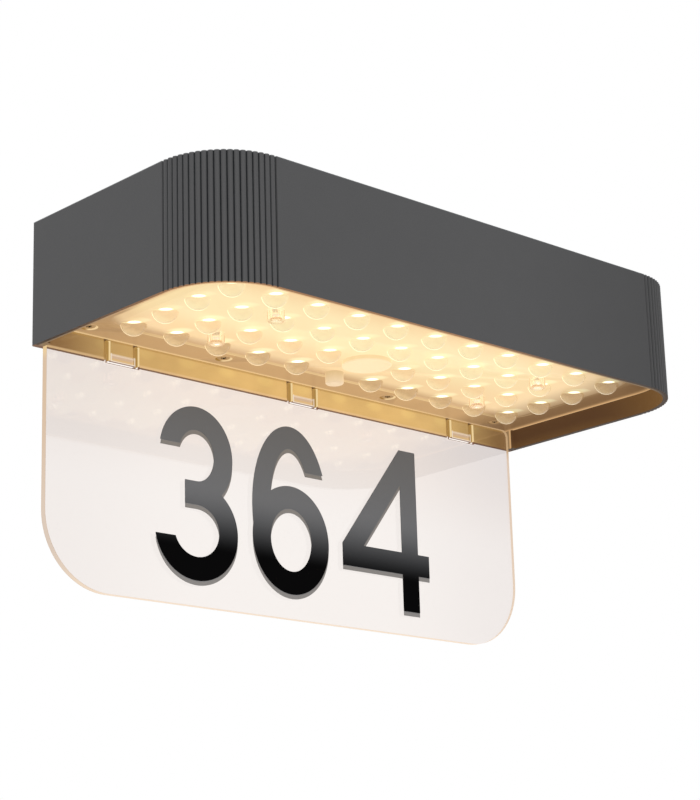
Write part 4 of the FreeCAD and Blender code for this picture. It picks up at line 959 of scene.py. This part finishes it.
def shade_under(numeral):
    """A copy of the numeral's outline as a sheet of painted shadow, lower on the plate and thinner: y =
    front - gap - a share of the shade's thickness, which is all of it at the numeral's face and none at
    its back."""
    mesh = numeral.data.copy()
    work = bmesh.new()
    work.from_mesh(mesh)
    bmesh.ops.remove_doubles(work, verts=work.verts, dist=JOIN_DISTANCE)
    work.to_mesh(mesh)
    work.free()
    points = np.empty(len(mesh.vertices) * 3)
    mesh.vertices.foreach_get("co", points)
    points = points.reshape(-1, 3)
    points[:, 2] -= SHADE_DROP * MM
    thin = np.interp(points[:, 1] / MM, [PLATE_FRONT - FILM_THICKNESS, PLATE_FRONT], [SHADE_THICKNESS, 0])
    points[:, 1] = (PLATE_FRONT - SHADE_GAP - thin) * MM
    mesh.vertices.foreach_set("co", points.ravel())
    piece = bpy.data.objects.new(numeral.name + "_shade", mesh)
    bpy.context.scene.collection.objects.link(piece)
    return piece


numeral_film = Finish("numeral_film", roughness=0.5, specular_ior_level=0.0)
x, y, z = numeral_film.place()
height = (z - NUMERAL_LOW.z / MM) / NUMERAL_HEIGHT
# painted reflection: grey on the upper half of each numeral
film = numeral_film.mix(height.rise(*FILM_LIGHT), FILM_BLACK, FILM_REFLECTION_GREY)
film = numeral_film.mix(y.rise(*FILM_BACK), film, FILM_BLACK)
numeral_film.paint("Base Color", numeral_film.speckled(film, size=0.6, least=0.98, spread=0.04))
numerals = [nodes[name] for name in ("numeral_three", "numeral_six", "numeral_four")]
numeral_film.wear(*numerals)


def grained(name, colour, size, least, spread, **constants):
    """the finish of a plain piece: one colour with a grain"""
    finish = Finish(name, **constants)
    finish.paint("Base Color", finish.speckled(colour, size, least, spread))
    return finish


# painted shadow: a grey sheet under each numeral
painted_shadow_film = grained("painted_shadow_film", SHADOW_GREY, size=0.6, least=0.97, spread=0.06,
                     roughness=0.6, specular_ior_level=0.1)
for numeral in numerals:
    shade_piece = shade_under(numeral)
    painted_shadow_film.wear(shade_piece)
    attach(shade_piece, "plate")

# Screws. Blackened steel heads hold the cover, their black also a painted shade for their recesses; they
# stand in lit wells, and painted light on each head's rim leaves only the cross recess and a little of
# each head dark.
# The light board, the holder and the control board have zinc plated ones.
HEAD_GLOW = shade(186, 146, 98)
HEAD_RING = (0.7, 1.3)
HEAD_SPAN = (FLANGE + 1.2, FLANGE + 1.6)
TIP_LIGHT = shade(206, 160, 124)
TIP_DARK = shade(70, 50, 34)
TIP_MARKS = (FIELD - 1.7, FIELD - 1.3)
TIP_SPAN = (FIELD, FIELD + 3)
MARK_EDGE = (0.4, 0.5)
ZINC_DARK = shade(176, 178, 182)
ZINC_LIGHT = shade(206, 207, 208)
ZINC_SMOOTH = 0.25
ZINC_ROUGHER = 0.2

screw_black = grained("screw_black", shade(58, 54, 50), size=0.8, least=0.9, spread=0.2,
                      metallic=0.6, roughness=0.45, emission_strength=0.8)
x, y, z = screw_black.place()
from_centre, *others = [distance(abs(x) - column, y - row) for column, row in SCREW_PLACES]
for other in others:
    from_centre = from_centre.least(other)
# painted light on each head, away from its middle, from the lit well around it
head_light = from_centre.rise(*HEAD_RING) * z.fall(*HEAD_SPAN)
screw_black.paint("Emission Color", screw_black.mix(head_light, BLACK, HEAD_GLOW))
screw_black.wear(nodes["cover_screws"])
screw_zinc = Finish("screw_zinc", metallic=1.0, emission_strength=1.0)
x, y, z = screw_zinc.place()
# painted light: seen through the clear posts, the tips glow warm, with darker marks
tip_marks = z.rise(*TIP_MARKS) * screw_zinc.speckle(size=0.9, detail=1.0).rise(*MARK_EDGE)
tip_glow = screw_zinc.mix(tip_marks, TIP_LIGHT, TIP_DARK)
screw_zinc.paint("Emission Color", screw_zinc.mix(z.fall(*TIP_SPAN), BLACK, tip_glow))
screw_zinc.paint("Base Color", screw_zinc.mix(screw_zinc.speckle(size=0.7), ZINC_DARK, ZINC_LIGHT))
screw_zinc.paint("Roughness", ZINC_SMOOTH + ZINC_ROUGHER * screw_zinc.speckle(size=0.5))
screw_zinc.wear(nodes["light_board_screws"], nodes["holder_screws"], nodes["control_board_screws"])

# Solar panel. Dark cells under a clear cast face, with thin silver fingers across them and three bus
# bars along; black foam tape holds it on the deck.
PANEL_LOW, PANEL_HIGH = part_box("solar_panel")
PANEL_CORNER = 1.0
PANEL_MARGIN = (2.0, 2.2)
CELLS = 8
CELL_PITCH = (PANEL_HIGH.x - PANEL_LOW.x) / MM / CELLS
CELL_GAP = (0.4, 0.55)
CELL_DARK = shade(14, 19, 46)
CELL_LIGHT = shade(26, 32, 68)
GAP_DARK = shade(16, 16, 20)
BUS_BARS = 3
BUS_PITCH = (PANEL_HIGH.y - PANEL_LOW.y) / MM / BUS_BARS
BUS_LINE = (0.4, 0.55)
BUS_SHARE = 0.8
FINGER_PITCH = 1.6
FINGER_LINE = (0.05, 0.1)
FINGER_SHARE = 0.35
SILVER = shade(176, 178, 184)

panel_face = Finish("panel_face", roughness=0.12, coat_weight=0.6, coat_roughness=0.05)
x, y, z = panel_face.place()
panel_inset = edge_inset(x, y, PANEL_HIGH.x / MM, PANEL_LOW.y / MM, PANEL_HIGH.y / MM, PANEL_CORNER)
finger = abs((x + FINGER_PITCH / 2).to_grid(FINGER_PITCH)).fall(*FINGER_LINE)
bus = abs((y - PANEL_LOW.y / MM - BUS_PITCH / 2).to_grid(BUS_PITCH)).fall(*BUS_LINE)
gap = abs(x.to_grid(CELL_PITCH)).fall(*CELL_GAP).most(panel_inset.fall(*PANEL_MARGIN))
cell = panel_face.mix(panel_face.speckle(size=5.0, detail=3.0), CELL_DARK, CELL_LIGHT)
cell = panel_face.mix((finger * FINGER_SHARE).most(bus * BUS_SHARE), cell, SILVER)
panel_face.paint("Base Color", panel_face.mix(gap, cell, GAP_DARK))
panel_face.wear(nodes["solar_panel"])
foam = grained("foam", shade(34, 34, 34), size=0.5, least=0.8, spread=0.4, roughness=0.95)
foam.bump(foam.speckle(size=0.5), depth=0.1)
foam.wear(nodes["panel_tape"])

# Seal. A soft grey silicone cord in the groove above the cover.
silicone = grained("silicone", shade(150, 150, 148), size=2.0, least=0.94, spread=0.12,
                   roughness=0.7, sheen_weight=0.2)
silicone.wear(nodes["cover_seal"])

# Light board. White solder mask; on it the lights, small yellow resin blocks that glow, the push switch,
# its plunger and the tin can of the motion sensor.
LIGHT_GLOW = shade(255, 226, 160)
TIN_DARK = shade(186, 184, 180)
TIN_LIGHT = shade(214, 212, 208)
TIN_SMOOTH = 0.2
TIN_ROUGHER = 0.25

board_white = grained("board_white", shade(236, 236, 230), size=6.0, least=0.97, spread=0.05,
                      roughness=0.35)
board_white.wear(nodes["light_board"])
light_resin = Finish("light_resin", roughness=0.3, base_color=shade(250, 226, 130), emission_strength=3.0)
light_resin.paint("Emission Color", light_resin.speckled(LIGHT_GLOW, size=0.6, least=0.8, spread=0.4))
light_resin.wear(nodes["lights"])
switch_black = grained("switch_black", shade(40, 40, 42), size=0.4, least=0.85, spread=0.3, roughness=0.6)
switch_black.wear(nodes["push_switch"], nodes["control_parts"])
plunger = grained("plunger", shade(228, 226, 220), size=0.5, least=0.95, spread=0.08, roughness=0.45)
plunger.wear(nodes["switch_plunger"], nodes["lead_sockets"])
tin_can = Finish("tin_can", metallic=1.0)
tin_can.paint("Base Color", tin_can.mix(tin_can.speckle(size=1.5), TIN_DARK, TIN_LIGHT))
tin_can.paint("Roughness", TIN_SMOOTH + TIN_ROUGHER * tin_can.speckle(size=0.8, stretch=(1, 1, 8)))
tin_can.wear(nodes["motion_sensor"], nodes["battery_contacts"])

# Battery. A round cell in a blue shrink sleeve with bright ends, in a black holder.
CELL_LOW, CELL_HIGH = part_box("battery_cell")
SLEEVE_BLUE = shade(46, 104, 158)
CELL_END = shade(196, 194, 190)
TIP_END = (-1.3, -1.2)
FLAT_END = (0.05, 0.1)

sleeve = Finish("sleeve", roughness=0.3, coat_weight=0.3)
x, y, z = sleeve.place()
bare = (x - CELL_HIGH.x / MM).rise(*TIP_END).most((x - CELL_LOW.x / MM).fall(*FLAT_END))
sleeve_colour = sleeve.speckled(SLEEVE_BLUE, size=4.0, least=0.94, spread=0.1)
sleeve.paint("Base Color", sleeve.mix(bare, sleeve_colour, CELL_END))
sleeve.paint("Metallic", bare)
sleeve.wear(nodes["battery_cell"])
holder_black = grained("holder_black", shade(36, 36, 38), size=0.6, least=0.85, spread=0.3, roughness=0.5)
holder_black.bump(holder_black.speckle(size=0.4), depth=0.02)
holder_black.wear(nodes["battery_holder"])

# Control board. Green solder mask over faint copper tracks.
MASK_GREEN = shade(22, 104, 58)
TRACK_GREEN = shade(56, 140, 78)
TRACK_PITCH = 3.2
TRACK_LINE = (0.25, 0.4)
TRACK_FIELD_EDGE = (0.45, 0.55)
TRACK_SHARE = 0.6

board_green = Finish("board_green", roughness=0.3, coat_weight=0.2)
x, y, z = board_green.place()
tracks = abs((x + y).to_grid(TRACK_PITCH)).fall(*TRACK_LINE)
tracks = tracks * board_green.speckle(size=7.0, detail=1.0).rise(*TRACK_FIELD_EDGE)
board_green.paint("Base Color", board_green.mix(tracks * TRACK_SHARE, MASK_GREEN, TRACK_GREEN))
board_green.wear(nodes["control_board"])

# Leads. Red jackets on all the leads, a black rubber grommet where the panel's pass the deck.
jacket = grained("jacket", shade(176, 40, 34), size=1.2, least=0.92, spread=0.16, roughness=0.45)
jacket.wear(nodes["panel_leads"], nodes["battery_leads"], nodes["light_leads"])
grommet = grained("grommet", shade(34, 34, 34), size=0.5, least=0.85, spread=0.3, roughness=0.8)
grommet.wear(nodes["lead_grommet"])

# Studio. A pale floor far below the light, one soft lamp from the left, and a white surround that lights
# the scene a little less brightly than it looks when seen, mirrored or seen through the plate.
FLOOR = -1.3
FLOOR_HALF = 6
FLOOR_CORNERS = [(-1, -1), (1, -1), (1, 1), (-1, 1)]
SURROUND_LIGHT = 0.8
LAMP_DIRECTION = Vector((0.5, 0.75, -0.35))

floor_mesh = bpy.data.meshes.new("floor")
floor_points = [(FLOOR_HALF * side, FLOOR_HALF * end, FLOOR) for side, end in FLOOR_CORNERS]
floor_mesh.from_pydata(floor_points, [], [(0, 1, 2, 3)])
floor = bpy.data.objects.new("floor", floor_mesh)
bpy.context.scene.collection.objects.link(floor)
floor_finish = Finish("floor_pale", roughness=0.9, base_color=(0.92, 0.92, 0.92, 1.0),
                      specular_ior_level=0.1)
floor_finish.wear(floor)

world = bpy.data.worlds.new("surround")
world.use_nodes = True
surround = Nodes(world.node_tree)
background = world.node_tree.nodes["Background"]
rays = [surround.node("LightPath", {}, {}, f"Is {kind} Ray")
        for kind in ("Camera", "Glossy", "Transmission")]
seen = rays[0].most(rays[1]).most(rays[2])
strength = surround.node("MapRange", {}, {"Value": seen, "To Min": SURROUND_LIGHT})
surround.feed(background.inputs["Strength"], strength)
background.inputs["Color"].default_value = (1, 1, 1, 1)
bpy.context.scene.world = world

lamp_data = bpy.data.lights.new("soft_lamp", "SUN")
lamp_data.energy = 0.6
lamp_data.angle = math.radians(40)
lamp = bpy.data.objects.new("soft_lamp", lamp_data)
lamp.rotation_euler = LAMP_DIRECTION.to_track_quat("-Z", "Y").to_euler()
bpy.context.scene.collection.objects.link(lamp)

# Camera. It stands in front of the light's left end and looks up at it. Its place and lens were fitted to
# the photograph's edges; the angles turn it about the aim point.
FOCAL_PIXELS = 2174.9
LONG_SIDE = 800
SENSOR = 36
CLIP = (0.01, 20)
AZIMUTH = math.radians(-43.263)
ELEVATION = math.radians(-16.152)
ROLL = math.radians(-1.697)
AIM = Vector((0, -50, -8))
AIM_SHIFT = (10.415, 25.934)
CAMERA_DISTANCE = 834.996

back = Vector((math.sin(AZIMUTH) * math.cos(ELEVATION), -math.cos(AZIMUTH) * math.cos(ELEVATION),
               math.sin(ELEVATION)))
level_right = (-back).cross(Vector((0, 0, 1))).normalized()
level_up = level_right.cross(-back)
right = level_right * math.cos(ROLL) + level_up * math.sin(ROLL)
up = level_up * math.cos(ROLL) - level_right * math.sin(ROLL)
spot = AIM + back * CAMERA_DISTANCE - right * AIM_SHIFT[0] - up * AIM_SHIFT[1]
camera_data = bpy.data.cameras.new("camera")
camera_data.sensor_width = SENSOR
camera_data.lens = FOCAL_PIXELS * SENSOR / LONG_SIDE
camera_data.clip_start, camera_data.clip_end = CLIP
camera = bpy.data.objects.new("camera", camera_data)
camera.matrix_world = Matrix.Translation(spot * MM) @ Matrix((right, up, back)).transposed().to_4x4()
bpy.context.scene.collection.objects.link(camera)
bpy.context.scene.camera = camera
bpy.context.scene.view_settings.view_transform = "Standard"
